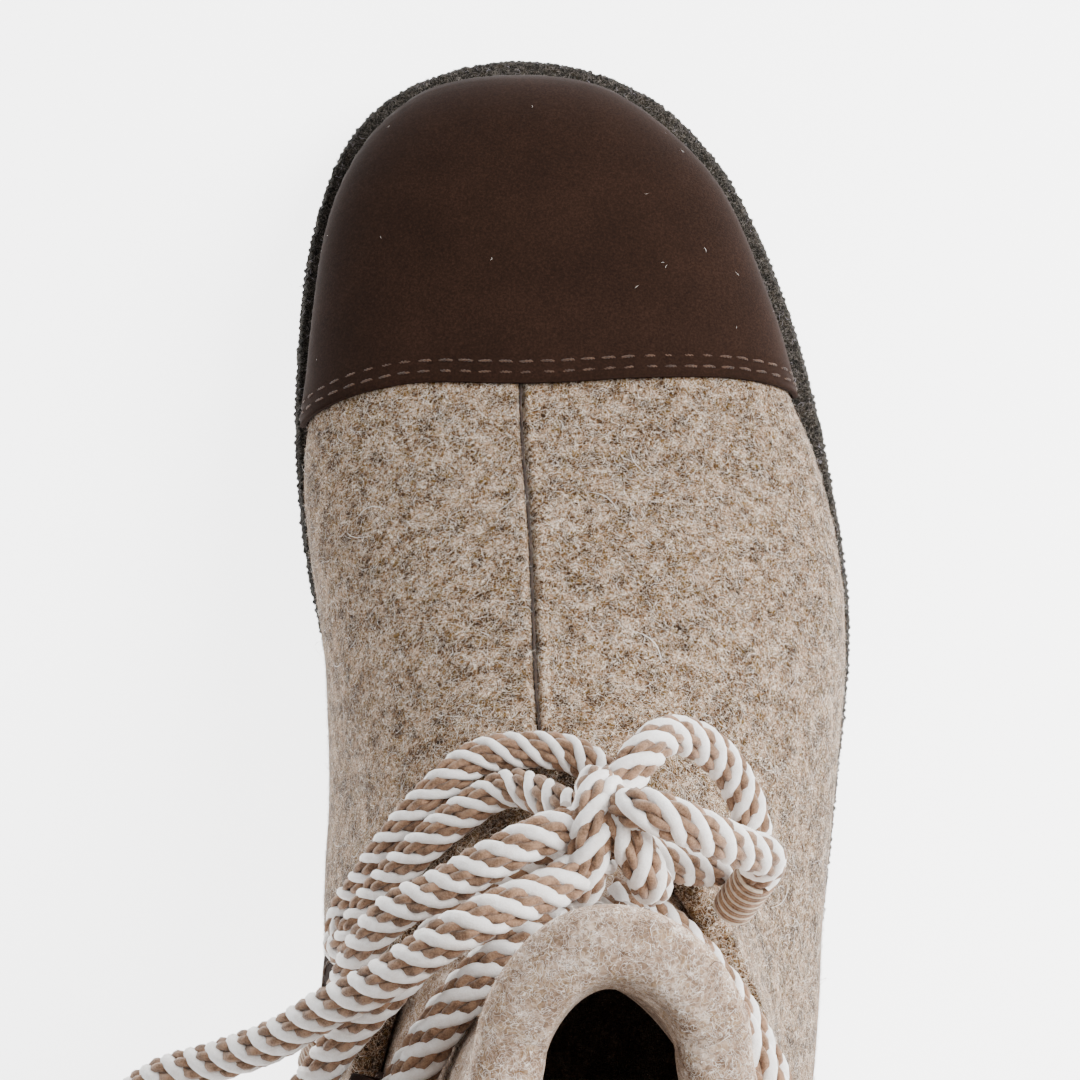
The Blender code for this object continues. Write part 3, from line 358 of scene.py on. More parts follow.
class Tree:
    """A node tree to add nodes to, with their open inputs filled in order or by name."""

    def __init__(self, tree):
        self.tree = tree

    def add(self, kind, *values, at=None, **settings):
        node = self.tree.nodes.new(kind)
        for name, value in settings.items():
            setattr(node, name, value)
        pairs = list(zip([s for s in node.inputs if s.enabled], values))
        pairs += [(next(s for s in node.inputs if s.name == name and s.enabled), value)
                  for name, value in (at or {}).items()]
        for socket, value in pairs:
            feed(self.tree, socket, value)
        return node

    def use(self, group, source, **at):
        """A geometry node group on a source, with its other inputs by name."""
        return self.add("GeometryNodeGroup", source, node_tree=group, at=at)

    def math(self, operation, *values):
        return self.add("ShaderNodeMath", *values, operation=operation)

    def times(self, *values):
        return self.math("MULTIPLY", *values)

    def plus(self, *values):
        return self.math("ADD", *values)

    def vector(self, operation, *values):
        return self.add("ShaderNodeVectorMath", *values, operation=operation)

    def scaled(self, vector, factor):
        return self.add("ShaderNodeVectorMath", vector, at={"Scale": factor}, operation="SCALE")

    def xyz(self, *values):
        return self.add("ShaderNodeCombineXYZ", *values)

    def dyed(self, mesh, finish):
        return self.add("GeometryNodeSetMaterial", mesh, at={"Material": finish})

    def attribute(self, name, kind):
        return self.add("GeometryNodeInputNamedAttribute", name,
                        data_type=kind).outputs["Attribute"]

    def random(self, kind, **at):
        return self.add("FunctionNodeRandomValue", data_type=kind, at=at)

    def place(self):
        """Place on the piece, in millimetres."""
        return self.scaled(self.add("ShaderNodeTexCoord").outputs["Object"], 1.0 / MM)

    def noise(self, place, scale, detail, roughness=0.5):
        return self.add("ShaderNodeTexNoise", place, at={
            "Scale": scale, "Detail": detail, "Roughness": roughness}).outputs["Fac"]

    def spread(self, value, low, high, start=0.0, end=1.0):
        return self.add("ShaderNodeMapRange", value, at={
            "From Min": low, "From Max": high, "To Min": start, "To Max": end})

    def blend(self, share, low, high):
        """Colour between a low and a high one."""
        node = self.add("ShaderNodeMix", data_type="RGBA")
        for name, value in (("Factor_Float", share), ("A_Color", low), ("B_Color", high)):
            feed(self.tree, next(s for s in node.inputs if s.identifier == name), value)
        return next(s for s in node.outputs if s.identifier == "Result_Color")

    def ramp(self, value, *stops):
        """Colour ramp through (place, colour) stops."""
        node = self.add("ShaderNodeValToRGB", value)
        for stop, (place, colour) in zip(node.color_ramp.elements, (stops[0], stops[-1])):
            stop.position, stop.color = place, rgb(*colour)
        for place, colour in stops[1:-1]:
            node.color_ramp.elements.new(place).color = rgb(*colour)
        return node.outputs["Color"]

    def result(self, **values):
        """Feeds the group's outputs and gives the group."""
        for name, value in values.items():
            feed(self.tree, self.end.inputs[name], value)
        return self.tree


SOCKETS = {int: "Int", float: "Float", bpy.types.Material: "Material"}


def new_group(name, inputs, outputs=("Mesh",), kind="GeometryNodeTree", gives="Geometry"):
    """A node group with named sockets; an input is a value or the name of its kind."""
    tree = bpy.data.node_groups.new(name, kind)
    for label, value in inputs.items():
        word = value if isinstance(value, str) else SOCKETS[type(value)]
        made = tree.interface.new_socket(label, in_out="INPUT", socket_type="NodeSocket" + word)
        if word != value:
            made.default_value = value
    for label in outputs:
        tree.interface.new_socket(label, in_out="OUTPUT", socket_type="NodeSocket" + gives)
    group, given = Tree(tree), tree.nodes.new("NodeGroupInput").outputs
    group.end = tree.nodes.new("NodeGroupOutput")
    return group, given


# ---- mesh building ----
def put(name, data):
    """A new object at the origin."""
    made = bpy.data.objects.new(name, data)
    bpy.context.scene.collection.objects.link(made)
    return made


def mend(mesh, distance=None):
    """Points the faces outwards, after merging points closer than a distance, if given."""
    shape = bmesh.new()
    shape.from_mesh(mesh)
    if distance:
        bmesh.ops.remove_doubles(shape, verts=shape.verts, dist=distance * MM)
        bmesh.ops.dissolve_degenerate(shape, edges=shape.edges, dist=0.001 * MM)
    bmesh.ops.recalc_face_normals(shape, faces=shape.faces)
    shape.to_mesh(mesh)
    shape.free()


def add_mesh(name, points, faces, finish):
    """A smooth-shaded piece from points in millimetres."""
    mesh = bpy.data.meshes.new(name)
    mesh.from_pydata((np.asarray(points).reshape(-1, 3) * MM).tolist(), [], faces)
    mend(mesh)
    mesh.shade_smooth()
    mesh.materials.append(finish)
    return put(name, mesh)


def grid_faces(rows, columns, round_rows=False, round_columns=True):
    i = np.arange(rows if round_rows else rows - 1)[:, None]
    j = np.arange(columns if round_columns else columns - 1)[None, :]
    ni, nj = (i + 1) % rows, (j + 1) % columns
    quads = np.stack(np.broadcast_arrays(
        i * columns + j, i * columns + nj, ni * columns + nj, ni * columns + j), -1)
    return quads.reshape(-1, 4).tolist()


def add_rings(name, points, finish):
    """A piece through a stack of closed rings, closed flat at both ends."""
    rows, count = points.shape[:2]
    faces = grid_faces(rows, count)
    faces += [list(range(start, start + count)) for start in (0, (rows - 1) * count)]
    return add_mesh(name, points, faces, finish)


def add_line(name, points, ups=None):
    """A chain of edges through points in millimetres, to be fed to Geometry Nodes."""
    mesh = bpy.data.meshes.new(name)
    edges = [(k, k + 1) for k in range(len(points) - 1)]
    mesh.from_pydata((np.asarray(points) * MM).tolist(), edges, [])
    if ups is not None:
        up = mesh.attributes.new("up", "FLOAT_VECTOR", "POINT")
        up.data.foreach_set("vector", np.asarray(ups, dtype=np.float32).ravel())
    return put(name, mesh)


def grown(source, tree, **values):
    """The source put through a geometry node tree and kept as a plain mesh piece."""
    grow = source.modifiers.new("grow", "NODES")
    grow.node_group = tree
    sockets = {item.name: item.identifier for item in tree.interface.items_tree
               if item.in_out == "INPUT"}
    for name, value in values.items():
        grow[sockets[name.replace("_", " ")]] = value
    ready = source.evaluated_get(bpy.context.evaluated_depsgraph_get())
    mesh = bpy.data.meshes.new_from_object(ready)
    name = source.name
    bpy.data.objects.remove(source, do_unlink=True)
    mesh.name = name
    return put(name, mesh)


# ---- colours and finishes ----
def fibre_group():
    """Matted wool: thin crossing fibres as a height and a mask, patches of dyed wool, and random
    spots of painted shade standing for the gaps between fibres.
    """
    t, given = new_group("matted wool", {"Curl Size": 1.1, "Fineness": 0.009, "Patch Size": 3.2},
                         ("Patches", "Mottle", "Gold", "Strands", "Gaps"),
                         kind="ShaderNodeTree", gives="Float")
    in_mm = t.place()

    def wool_noise(at, scale, detail, roughness=0.7):
        return t.noise(t.vector("ADD", in_mm, at), scale, detail, roughness)

    lines = None                  # level lines of a smooth random value run like curly fibres
    for at in ((0.0, 0.0, 0.0), (31.0, 7.0, 3.0), (5.0, 53.0, 11.0), (17.0, 23.0, 71.0)):
        value = wool_noise(at, t.math("DIVIDE", 1.0, given["Curl Size"]), 1.0, 0.6)
        off = t.math("ABSOLUTE", t.math("SUBTRACT", value, 0.5))
        strand = t.spread(t.math("DIVIDE", off, given["Fineness"]), 0.35, 1.0, 1.0, 0.0)
        lines = strand if lines is None else t.math("MAXIMUM", lines, strand)
    patch = t.math("DIVIDE", 1.0, given["Patch Size"])
    return t.result(
        Patches=wool_noise((0.0, 0.0, 0.0), patch, 2.0, 0.6),
        Mottle=wool_noise((90.0, 0.0, 0.0), 1.4, 2.0), Gold=wool_noise((0.0, 80.0, 0.0), 0.5, 3.0),
        Strands=lines, Gaps=t.spread(wool_noise((0.0, 0.0, 60.0), 2.6, 1.0), 0.5, 0.62))


def start_material(name):
    made = bpy.data.materials.new(name)
    made.use_nodes = True
    return made, Tree(made.node_tree)


def finish(made, colour, height, bump, depth, **plain):
    """Feeds colour and a bump from a height to the shader; the rest are plain numbers."""
    shader = made.node_tree.nodes["Principled BSDF"]
    relief = Tree(made.node_tree).add("ShaderNodeBump", at={
        "Height": height, "Strength": bump, "Distance": depth * MM})
    for name, value in (("Base Color", colour), ("Normal", relief)):
        feed(made.node_tree, shader.inputs[name], value)
    for name, value in plain.items():
        shader.inputs[name.replace("_", " ")].default_value = value
    return made


def felt_material(name, dark, brown, middle, light, gold, hair, patch=3.2):
    """Pressed wool of several colours, with pale hairs on it, darkened in random spots with painted
    shade between the fibres.
    """
    made, t = start_material(name)
    wool = t.add("ShaderNodeGroup", node_tree=FIBRES, at={"Patch Size": patch}).outputs
    patches = t.spread(wool["Patches"], 0.36, 0.64)
    mottle = t.spread(wool["Mottle"], 0.34, 0.66)
    both = t.times(t.plus(patches, mottle), 0.5)
    body = t.ramp(both, (0.1, dark), (0.35, brown), (0.6, middle), (0.9, light))
    body = t.blend(t.spread(wool["Gold"], 0.52, 0.62, 0.0, 0.55), body, gold)
    # painted shade: random spots blended toward the dark shade, standing for shadow in the gaps
    # between fibres
    body = t.blend(t.times(wool["Gaps"], 0.7), body, dark)
    pale = t.blend(patches, t.blend(0.4, hair, middle), hair)
    body = t.blend(t.times(wool["Strands"], 0.9), body, pale)
    return finish(made, body, wool["Strands"], bump=0.6, depth=0.2, Roughness=0.95,
                  Sheen_Weight=0.05, Sheen_Roughness=0.5, Specular_IOR_Level=0.2)


def two_noises(t, first, second):
    """Sum of two noises, each given as scale, detail, roughness and share."""
    place = t.place()
    fields = [t.noise(place, *row[:3]) for row in (first, second)]
    return t.plus(t.times(fields[0], first[3]), t.times(fields[1], second[3])), fields[1]


def yarn_material(name, dark, light, grain=0.22):
    """Spun yarn: soft, with fine filaments and darker and lighter tones at random."""
    made, t = start_material(name)
    both, hair = two_noises(t, (0.7, 3.0, 0.5, 0.6), (1.0 / grain, 2.0, 0.5, 0.4))
    return finish(made, t.ramp(both, (0.36, dark), (0.62, light)), hair, bump=0.55, depth=0.15,
                  Roughness=0.9, Sheen_Weight=0.25, Sheen_Roughness=0.5)


def leather_material():
    made, t = start_material("leather brown nubuck")
    both, nap = two_noises(t, (0.09, 4.0, 0.6, 0.22), (2.4, 4.0, 0.8, 0.78))
    colour = t.ramp(both, (0.36, (27, 16, 11)), (0.5, (37, 23, 16)), (0.64, (49, 32, 24)))
    return finish(made, colour, nap, bump=0.5, depth=0.12, Roughness=0.95,
                  Specular_IOR_Level=0.1)


def steel_material():
    made, t = start_material("steel satin")
    brushed = t.noise(t.place(), 2.0, 4.0)
    colour = t.ramp(brushed, (0.3, (104, 106, 106)), (0.7, (150, 152, 150)))
    return finish(made, colour, brushed, bump=0.2, depth=0.05, Roughness=0.38, Metallic=1.0)


def rubber_material():
    made, t = start_material("rubber dark")
    place = t.place()
    colour = t.ramp(t.noise(place, 0.12, 5.0), (0.35, (19, 18, 16)), (0.7, (34, 31, 28)))
    return finish(made, colour, t.noise(place, 1.6, 4.0), bump=0.6, depth=0.3,
                  Roughness=0.86, Specular_IOR_Level=0.25)


def fibre_material(name, *stops):
    """Loose wool, each fibre in its own shade."""
    made, t = start_material(name)
    own = t.add("ShaderNodeAttribute", attribute_name="shade").outputs["Fac"]
    return finish(made, t.ramp(own, *stops), own, bump=0.0, depth=0.1, Roughness=0.8,
                  Specular_IOR_Level=0.3)


FIBRES = fibre_group()
FELT_BEIGE = felt_material("felt beige", (34, 21, 11), (76, 53, 33), (120, 92, 66),
                           (174, 144, 118), (108, 82, 34), (246, 232, 214))
# the shaft's felt: the same beige felt as the shell, painted lighter throughout as painted light
# for the brighter-lit collar
FELT_COLLAR_PAINTED_LIGHTER = felt_material("felt beige collar", (108, 86, 70), (144, 118, 98),
                            (172, 147, 127), (206, 184, 166), (160, 132, 98), (246, 236, 226))
FELT_INSOLE = felt_material("felt insole", (40, 32, 26), (58, 48, 40), (80, 66, 55),
                            (104, 90, 76), (72, 58, 42), (130, 116, 102))
WOOL_GREY = felt_material("wool grey", (14, 13, 11), (24, 22, 18), (36, 33, 27),
                          (58, 53, 46), (48, 40, 28), (120, 112, 106), patch=1.4)
YARN_TAN = yarn_material("rope yarn tan", (90, 64, 44), (158, 124, 97))
YARN_WHITE = yarn_material("rope yarn white", (232, 226, 221), (252, 250, 248))
THREAD_TAN = yarn_material("thread tan", (46, 29, 19), (92, 64, 45), grain=0.12)
# dark thread of the ridge seam: partly its own colour, partly painted shade of the gap in the seam
SEAM_THREAD_AND_SHADE = yarn_material("thread dark", (34, 22, 15), (64, 46, 33), grain=0.3)
THREAD_CREAM = yarn_material("thread cream", (168, 150, 130), (206, 190, 170), grain=0.12)
LEATHER_BROWN, STEEL, RUBBER = leather_material(), steel_material(), rubber_material()
WOOL_FIBRE = fibre_material("wool fibre", (0.0, (52, 32, 20)), (0.22, (84, 56, 36)),
                            (0.4, (130, 90, 44)), (0.55, (190, 160, 134)),
                            (0.75, (228, 212, 196)), (1.0, (246, 240, 232)))
WHITE_FIBRE = fibre_material("white fibre", (0.0, (190, 180, 170)), (1.0, (240, 236, 230)))
LINT_FIBRE = fibre_material("lint fibre", (0.0, (52, 48, 44)), (0.6, (104, 98, 96)),
                            (1.0, (150, 144, 152)))

# ---- rope ----
ROPE_LAY = 12.0                 # length of one turn of its strands
TAN_ORBIT, TAN_PLY, TAN_PLY_ORBIT, TAN_LAY = 1.58, 0.6, 0.54, 5.6
TAN_STEP, PLY_STEP, WHITE_STEP = 0.7, 0.62, 0.9
WHITE_STRAND = 0.92             # radius of the soft strands
WHITE_TAUT = 0.72               # the same where the rope is pulled tight
WHITE_REACH = 2.64              # from the rope's middle to the outside of a white strand
ROPE_FULLNESS = 1.04


def twist_group():
    """Copies of a curve laid round it as helices: strands of a rope, plies of a strand."""
    t, given = new_group("laid strands", {
        "Curve": "Geometry", "Strands": 3, "Lay": 0.012, "Orbit": 0.0016, "Start": 0.0,
        "Step": 0.0007}, outputs=("Curve",))
    even = t.add("GeometryNodeResampleCurve", given["Curve"], mode="LENGTH",
                 at={"Length": given["Step"]})
    copies = t.add("GeometryNodeDuplicateElements", even, domain="SPLINE",
                   at={"Amount": given["Strands"]})
    share = t.math("DIVIDE", copies.outputs["Duplicate Index"], given["Strands"])
    along = t.math("DIVIDE", t.add("GeometryNodeSplineParameter").outputs["Length"], given["Lay"])
    angle = t.plus(t.times(t.plus(share, along), 2.0 * math.pi), given["Start"])
    normal = t.add("GeometryNodeInputNormal")
    across = t.vector("CROSS_PRODUCT", t.add("GeometryNodeInputTangent"), normal)
    out = t.vector("ADD", t.scaled(normal, t.math("COSINE", angle)),
                   t.scaled(across, t.math("SINE", angle)))
    return t.result(Curve=t.add("GeometryNodeSetPosition", copies,
                                at={"Offset": t.scaled(out, given["Orbit"])}))


def tube_group():
    """A round tube along a curve, closed at its ends."""
    t, given = new_group("yarn", {
        "Curve": "Geometry", "Radius": 0.0005, "Sides": 7, "Finish": "Material"})
    ring = t.add("GeometryNodeCurvePrimitiveCircle",
                 at={"Resolution": given["Sides"], "Radius": given["Radius"]})
    tube = t.add("GeometryNodeCurveToMesh", given["Curve"], ring, at={"Fill Caps": True})
    return t.result(Mesh=t.dyed(t.add("GeometryNodeSetShadeSmooth", tube), given["Finish"]))


def thread_group():
    """One thread along a line."""
    t, given = new_group("seam thread", {
        "Line": "Geometry", "Radius": 0.00024, "Finish": "Material"})
    curve = t.add("GeometryNodeMeshToCurve", given["Line"])
    return t.result(Mesh=t.use(TUBE, curve, Radius=given["Radius"], Sides=6,
                               Finish=given["Finish"]))


def rope_group():
    """The lace: three two-ply tan strands and three soft white ones, laid to the right."""
    t, given = new_group("rope lace", {
        "Path": "Geometry", "Size": 1.0, "Start": 0.0, "White Strand": WHITE_STRAND * MM,
        "Tan": YARN_TAN, "White": YARN_WHITE})
    curve = t.add("GeometryNodeMeshToCurve", given["Path"])

    def sized(value):
        return t.times(given["Size"], value)

    tan = t.use(TWIST, curve, Strands=3, Lay=ROPE_LAY * MM, Start=given["Start"],
                Step=TAN_STEP * MM, Orbit=sized(TAN_ORBIT * MM))
    plies = t.use(TWIST, tan, Strands=2, Lay=-TAN_LAY * MM, Start=0.0, Step=PLY_STEP * MM,
                  Orbit=sized(TAN_PLY_ORBIT * MM))
    brown = t.use(TUBE, plies, Radius=sized(TAN_PLY * MM), Sides=6, Finish=given["Tan"])
    between = t.plus(given["Start"], math.pi / 3.0)
    reach = t.math("SUBTRACT", WHITE_REACH * MM, given["White Strand"])
    soft = t.use(TWIST, curve, Strands=3, Lay=ROPE_LAY * MM, Start=between,
                 Step=WHITE_STEP * MM, Orbit=sized(reach))
    white = t.use(TUBE, soft, Radius=sized(given["White Strand"]), Sides=9,
                  Finish=given["White"])
    both = t.add("GeometryNodeJoinGeometry", brown)
    feed(t.tree, both.inputs[0], white)
    return t.result(Mesh=t.add("GeometryNodeRealizeInstances", both))


TWIST, TUBE = twist_group(), tube_group()
ROPE_TREE, SEAM_TREE = rope_group(), thread_group()


def make_rope(name, line, start=0.0, white=WHITE_STRAND):
    return grown(add_line(name, line), ROPE_TREE, Start=start, Size=ROPE_FULLNESS,
                 White_Strand=white * MM)


# Route of the rope, as in the solids.
WRAP_FRONT_Z, WRAP_BACK_Z, WRAP_PITCH = 103.4, 97.0, 5.6
WRAP_FIRST, WRAP_LAST = 2.0 * math.pi / 48.0, 95.0 * 2.0 * math.pi / 48.0
WRAP_CLEAR, WRAP_STEP = 2.4 * SOFT_GAP, math.pi / 120.0
BARS_STRANDS_START = 1.9        # turn of the strands at the knot
BAR_START, BAR_END = (5.2, -8.6, 99.5), (-1.2, -10.4, 99.5)
BAR = (
    # side, y, z on the form, clearance
    (LATERAL, -10.0, 86.0, 1.8), (LATERAL, -5.0, 83.0, 0.7), (MEDIAL, -2.4, 82.5, 0.6),
    (MEDIAL, -4.8, 81.2, 0.6), (MEDIAL, -10.9, 80.5, 0.5), (MEDIAL, -17.5, 78.0, 0.5),
    (MEDIAL, -22.5, 74.5, 0.7), (MEDIAL, -26.6, 70.6, 1.2), (MEDIAL, -31.1, 70.0, 0.8),
    (MEDIAL, -31.1, 75.3, 0.8), (MEDIAL, -25.0, 79.0, 0.5), (MEDIAL, -17.6, 84.0, 0.5),
    (MEDIAL, -12.6, 85.5, 0.7), (MEDIAL, -10.2, 86.4, 2.0),
)
EYELET_RUN = (
    # y, z on the medial side, distance out from the form to the rope's middle
    (-29.6, 74.6, 3.3), (-29.0, 71.8, 3.4), (-28.2, 68.8, 3.3), (-27.6, 66.6, 2.2),
    (-27.3, 65.2, -0.2), (-27.3, 65.0, -3.0), (-27.3, 65.0, -6.0),
)
KNOT = (2.0, -13.0, 109.0)
KNOT_TURNS = (
    # tilt, half breadth, half depth, shift across
    (0.15, 6.6, 6.4, -1.5), (-0.5, 6.4, 6.0, 3.2),
)
KNOT_POINTS = 90                # round one turn
LOOP_LEFT = (
    (2.0, -15.0, 112.0), (-3.9, -18.6, 116.5), (-9.3, -20.6, 119.0), (-15.2, -23.4, 119.0),
    (-21.3, -27.5, 116.0), (-26.4, -30.9, 112.5), (-33.3, -34.8, 107.0), (-39.6, -39.0, 102.0),
    (-48.5, -42.9, 96.0), (-57.2, -46.2, 91.0), (-65.0, -53.5, 84.5), (-64.5, -62.0, 79.5),
    (-55.5, -65.0, 80.0), (-45.2, -57.5, 86.0), (-37.3, -47.9, 94.5), (-30.2, -38.1, 101.5),
    (-23.9, -31.4, 105.8), (-15.9, -23.0, 105.4), (-8.5, -17.6, 105.0), (2.0, -13.0, 107.0),
)
LOOP_RIGHT = (
    (3.0, -10.0, 109.0), (4.6, -6.6, 109.0), (7.8, -2.5, 107.0), (11.4, -0.3, 102.0),
    (16.5, -1.6, 97.0), (21.1, -6.3, 92.5), (23.7, -13.2, 90.0), (22.4, -16.8, 90.5),
    (17.8, -17.8, 93.5), (10.0, -16.5, 101.0), (4.0, -13.5, 105.5),
)
END_LEFT = (
    (1.0, -11.5, 112.0), (-5.1, -12.5, 114.0), (-10.7, -15.2, 114.0), (-18.3, -19.5, 111.0),
    (-24.2, -22.6, 107.6), (-28.6, -27.8, 102.5), (-32.2, -35.4, 93.5), (-35.0, -41.2, 85.5),
)
END_RIGHT = (
    (3.5, -10.0, 112.0), (7.0, -9.4, 118.5), (13.8, -12.0, 116.5), (19.6, -14.4, 110.5),
    (22.9, -15.6, 106.0), (23.6, -16.6, 103.2), (22.9, -18.2, 100.8),
)
TIP_LENGTH, TIP_WIDTH = 9.0, 5.6


def make_cord(name, route):
    """A free stretch of the rope: drawn, ridden on the boot, with its solid part hidden."""
    line = evenly(smooth_line(route))
    made = make_rope(name.replace("lace", "rope"), line)
    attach(made, "root")
    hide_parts(name)
    return made


def make_wraps():
    """The rope's two turns round the ankle."""
    line = []
    for turn in np.arange(WRAP_FIRST, WRAP_LAST + 0.01, WRAP_STEP):
        rise = WRAP_FRONT_Z - (WRAP_FRONT_Z - WRAP_BACK_Z) * (1.0 - math.cos(turn)) / 2.0
        z = rise - WRAP_PITCH * (turn / (2.0 * math.pi) - 1.0)
        s = halved(loop_place("instep"), 1.0, lambda s: form_yz(s, turn)[1] < z)
        line.append(layer(s, turn, SHAFT_OUT + WRAP_CLEAR + ROPE / 2.0))
    return make_rope("rope_ankle_turns", evenly(np.array(line)))


def make_bars():
    """The rope over the instep to the eyelet and back."""
    line = [on_form(y, z, side, clear + ROPE / 2.0) for side, y, z, clear in BAR]
    line = evenly(smooth_line([BAR_START, *line, BAR_END]))
    return make_rope("rope_instep_bars", line, start=BARS_STRANDS_START,
                     white=WHITE_TAUT)


def make_eyelet_run():
    """The rope going down from its bend into the eyelet."""
    line = [on_form(y, z, MEDIAL, out) for y, z, out in EYELET_RUN]
    return make_rope("rope_eyelet_run", evenly(smooth_line(line)), white=WHITE_TAUT)


def make_knot():
    """The half hitches of the bow, as short lengths of the rope."""
    a = np.linspace(0.0, 2.0 * math.pi, KNOT_POINTS)
    made = []
    for number, (tilt, wide, deep, shift) in enumerate(KNOT_TURNS):
        ring = np.column_stack((shift + np.sin(tilt) * wide * np.cos(a), deep * np.cos(a),
                                wide * np.sin(a)))
        made.append(make_rope("rope_knot_turn_%d" % number, evenly(ring + KNOT), start=number))
    return made


# ---- whippings of the ends ----
WHIPPING_TURNS = 6.3            # of three threads side by side
WHIPPING_POINTS = 13
WHIPPING_THREAD, WHIPPING_SUNK, WHIPPING_STEP = 0.27, 0.24, 0.07
WHIPPING_CORE = 0.44            # radius of the core as a share of the whipping's width
WHIPPING_COILS = ((0.0, "Brown"), (2.1, "Brown"), (4.2, "Cream"))      # start, thread


def tip_group():
    """Three threads wound side by side round a core, two brown and one cream."""
    t, given = new_group("thread whipping", {
        "Path": "Geometry", "Width": TIP_WIDTH * MM, "Brown": YARN_TAN, "Cream": THREAD_CREAM,
        "Rope": YARN_TAN})
    curve = t.add("GeometryNodeMeshToCurve", given["Path"])
    pieces = t.add("GeometryNodeJoinGeometry")
    orbit = t.math("SUBTRACT", t.times(given["Width"], 0.5), WHIPPING_SUNK * MM)
    for start, thread in WHIPPING_COILS:
        coil = t.use(TWIST, curve, Strands=1, Lay=TIP_LENGTH / WHIPPING_TURNS * MM,
                     Start=start, Step=WHIPPING_STEP * MM, Orbit=orbit)
        feed(t.tree, pieces.inputs[0], t.use(TUBE, coil, Radius=WHIPPING_THREAD * MM, Sides=6,
                                             Finish=given[thread]))
    feed(t.tree, pieces.inputs[0], t.use(TUBE, curve, Sides=20, Finish=given["Rope"],
                                         Radius=t.times(given["Width"], WHIPPING_CORE)))
    return t.result(Mesh=t.add("GeometryNodeRealizeInstances", pieces))


TIP_TREE = tip_group()


def make_tip(name, route):
    """The whipping past the end of a route, on its last direction."""
    line = evenly(smooth_line(route))
    end, before = Vector(line[-1]), Vector(line[-4])
    along = (end - before).normalized()
    places = np.linspace(GAP, GAP + TIP_LENGTH, WHIPPING_POINTS)
    return grown(add_line(name, [end + along * place for place in places]), TIP_TREE)


# ---- felt parts ----
FELT_WAVES = ((0.5, 26.0, 3.1), (0.16, 6.0, 7.7))      # height, size, seed
GATHERS, GATHER_HEIGHT, GATHER_SWAY = 13.0, 0.5, 1.3
GATHER_REACH, GATHER_MIDDLE = 17.0, -76.0
SEAM_DEPTH, SEAM_END = 0.5, -8.0
SEAM_LIP, SEAM_LIP_AT, SEAM_LIP_WIDTH = 0.35, 1.4, 0.8
SEAM_TROUGH, SEAM_TROUGH_WIDTH = 1.1, 0.5
RIDGE_BACK, RIDGE_LOW = -20.0, 40.0     # the seam shows ahead of and above these
SEAM_WAVER, SEAM_WANDER = (0.2, 2.4, 5.2), (0.2, 1.3, 9.4)      # height, size, seed
SEAM_STEP, SEAM_POINTS = 0.35, 900
UPPER_EDGE, SHAFT_EDGE = 1.5, 3.4       # depth of the rounding at the top of each wall
EDGE_ROWS, EDGE_SQUARE, EDGE_ROOM = 13, 0.75, 1.3
FEATHER_ROWS, UPPER_ROWS, UPPER_TURNS = 9, 84, 320
SHAFT_ROWS, SHAFT_TURNS, SHAFT_NEAR_RIDGE, SHAFT_SLACK = 64, 260, 0.5, 0.6
SHAFT_FUZZ_FROM = 84.0


def crowded(count):
    """Shares from -1 to 1, closer together near both ends."""
    return np.sin(np.linspace(-1.0, 1.0, count) * math.pi / 2.0)


def spread_turns(count, near_ridge=0.35):
    """Turns round the form, closer together near the ridge."""
    v = np.arange(-count // 2, count // 2) / (count / 2.0)
    return np.mod(math.pi * (near_ridge * v + (1.0 - near_ridge) * v ** 3), 2.0 * math.pi)


def soft_noise(points, height, size, seed):
    """Smooth random height at each point, up and down by one height, over lumps of a size."""
    flat = points.reshape(-1, 3) / size + seed
    values = np.array([noise.noise(Vector(p)) for p in flat])
    return height * values.reshape(points.shape[:-1])


def felt_relief(points):
    """Slack of the felt: broad waves and small lumps."""
    return sum(soft_noise(points, *row) for row in FELT_WAVES)


def seam_relief(points):
    """The closed seam along the ridge of the vamp, drawn in by its thread."""
    off = np.abs(points[..., 0] - ridge_x(points[..., 1]))
    there = (points[..., 1] > RIDGE_BACK) * (points[..., 2] > RIDGE_LOW)
    lips = SEAM_LIP * np.exp(-((off - SEAM_LIP_AT) / SEAM_LIP_WIDTH) ** 2)
    return there * (lips - SEAM_TROUGH * np.exp(-(off / SEAM_TROUGH_WIDTH) ** 2))


def gathers(points):
    """Soft pleats that the rope draws into the shaft above and below its turns."""
    turn = np.arctan2(points[..., 0] - HEEL_X, points[..., 1] - GATHER_MIDDLE)
    fade = np.exp(-((points[..., 2] - WRAP_FRONT_Z) / GATHER_REACH) ** 2)
    return GATHER_HEIGHT * fade * np.sin(GATHERS * turn + GATHER_SWAY * np.sin(2.0 * turn))


def wall(rows, outs, turns):
    """Loops, distances, normals and points of a wall given as rows of loops round the form."""
    s = np.array(rows)
    turn = np.broadcast_to(turns, s.shape)
    depth = np.array(outs)[:, None] * np.ones(turns.shape)
    normal = form_normal(s, turn)
    return s, depth, normal, form(s, turn) + normal * depth[..., None]


def mark(piece, values):
    """Says for each point of a piece how thickly fibres stand there."""
    shown = piece.data.attributes.new("shown", "FLOAT", "POINT")
    shown.data.foreach_set("value", np.asarray(values, dtype=np.float32).ravel())


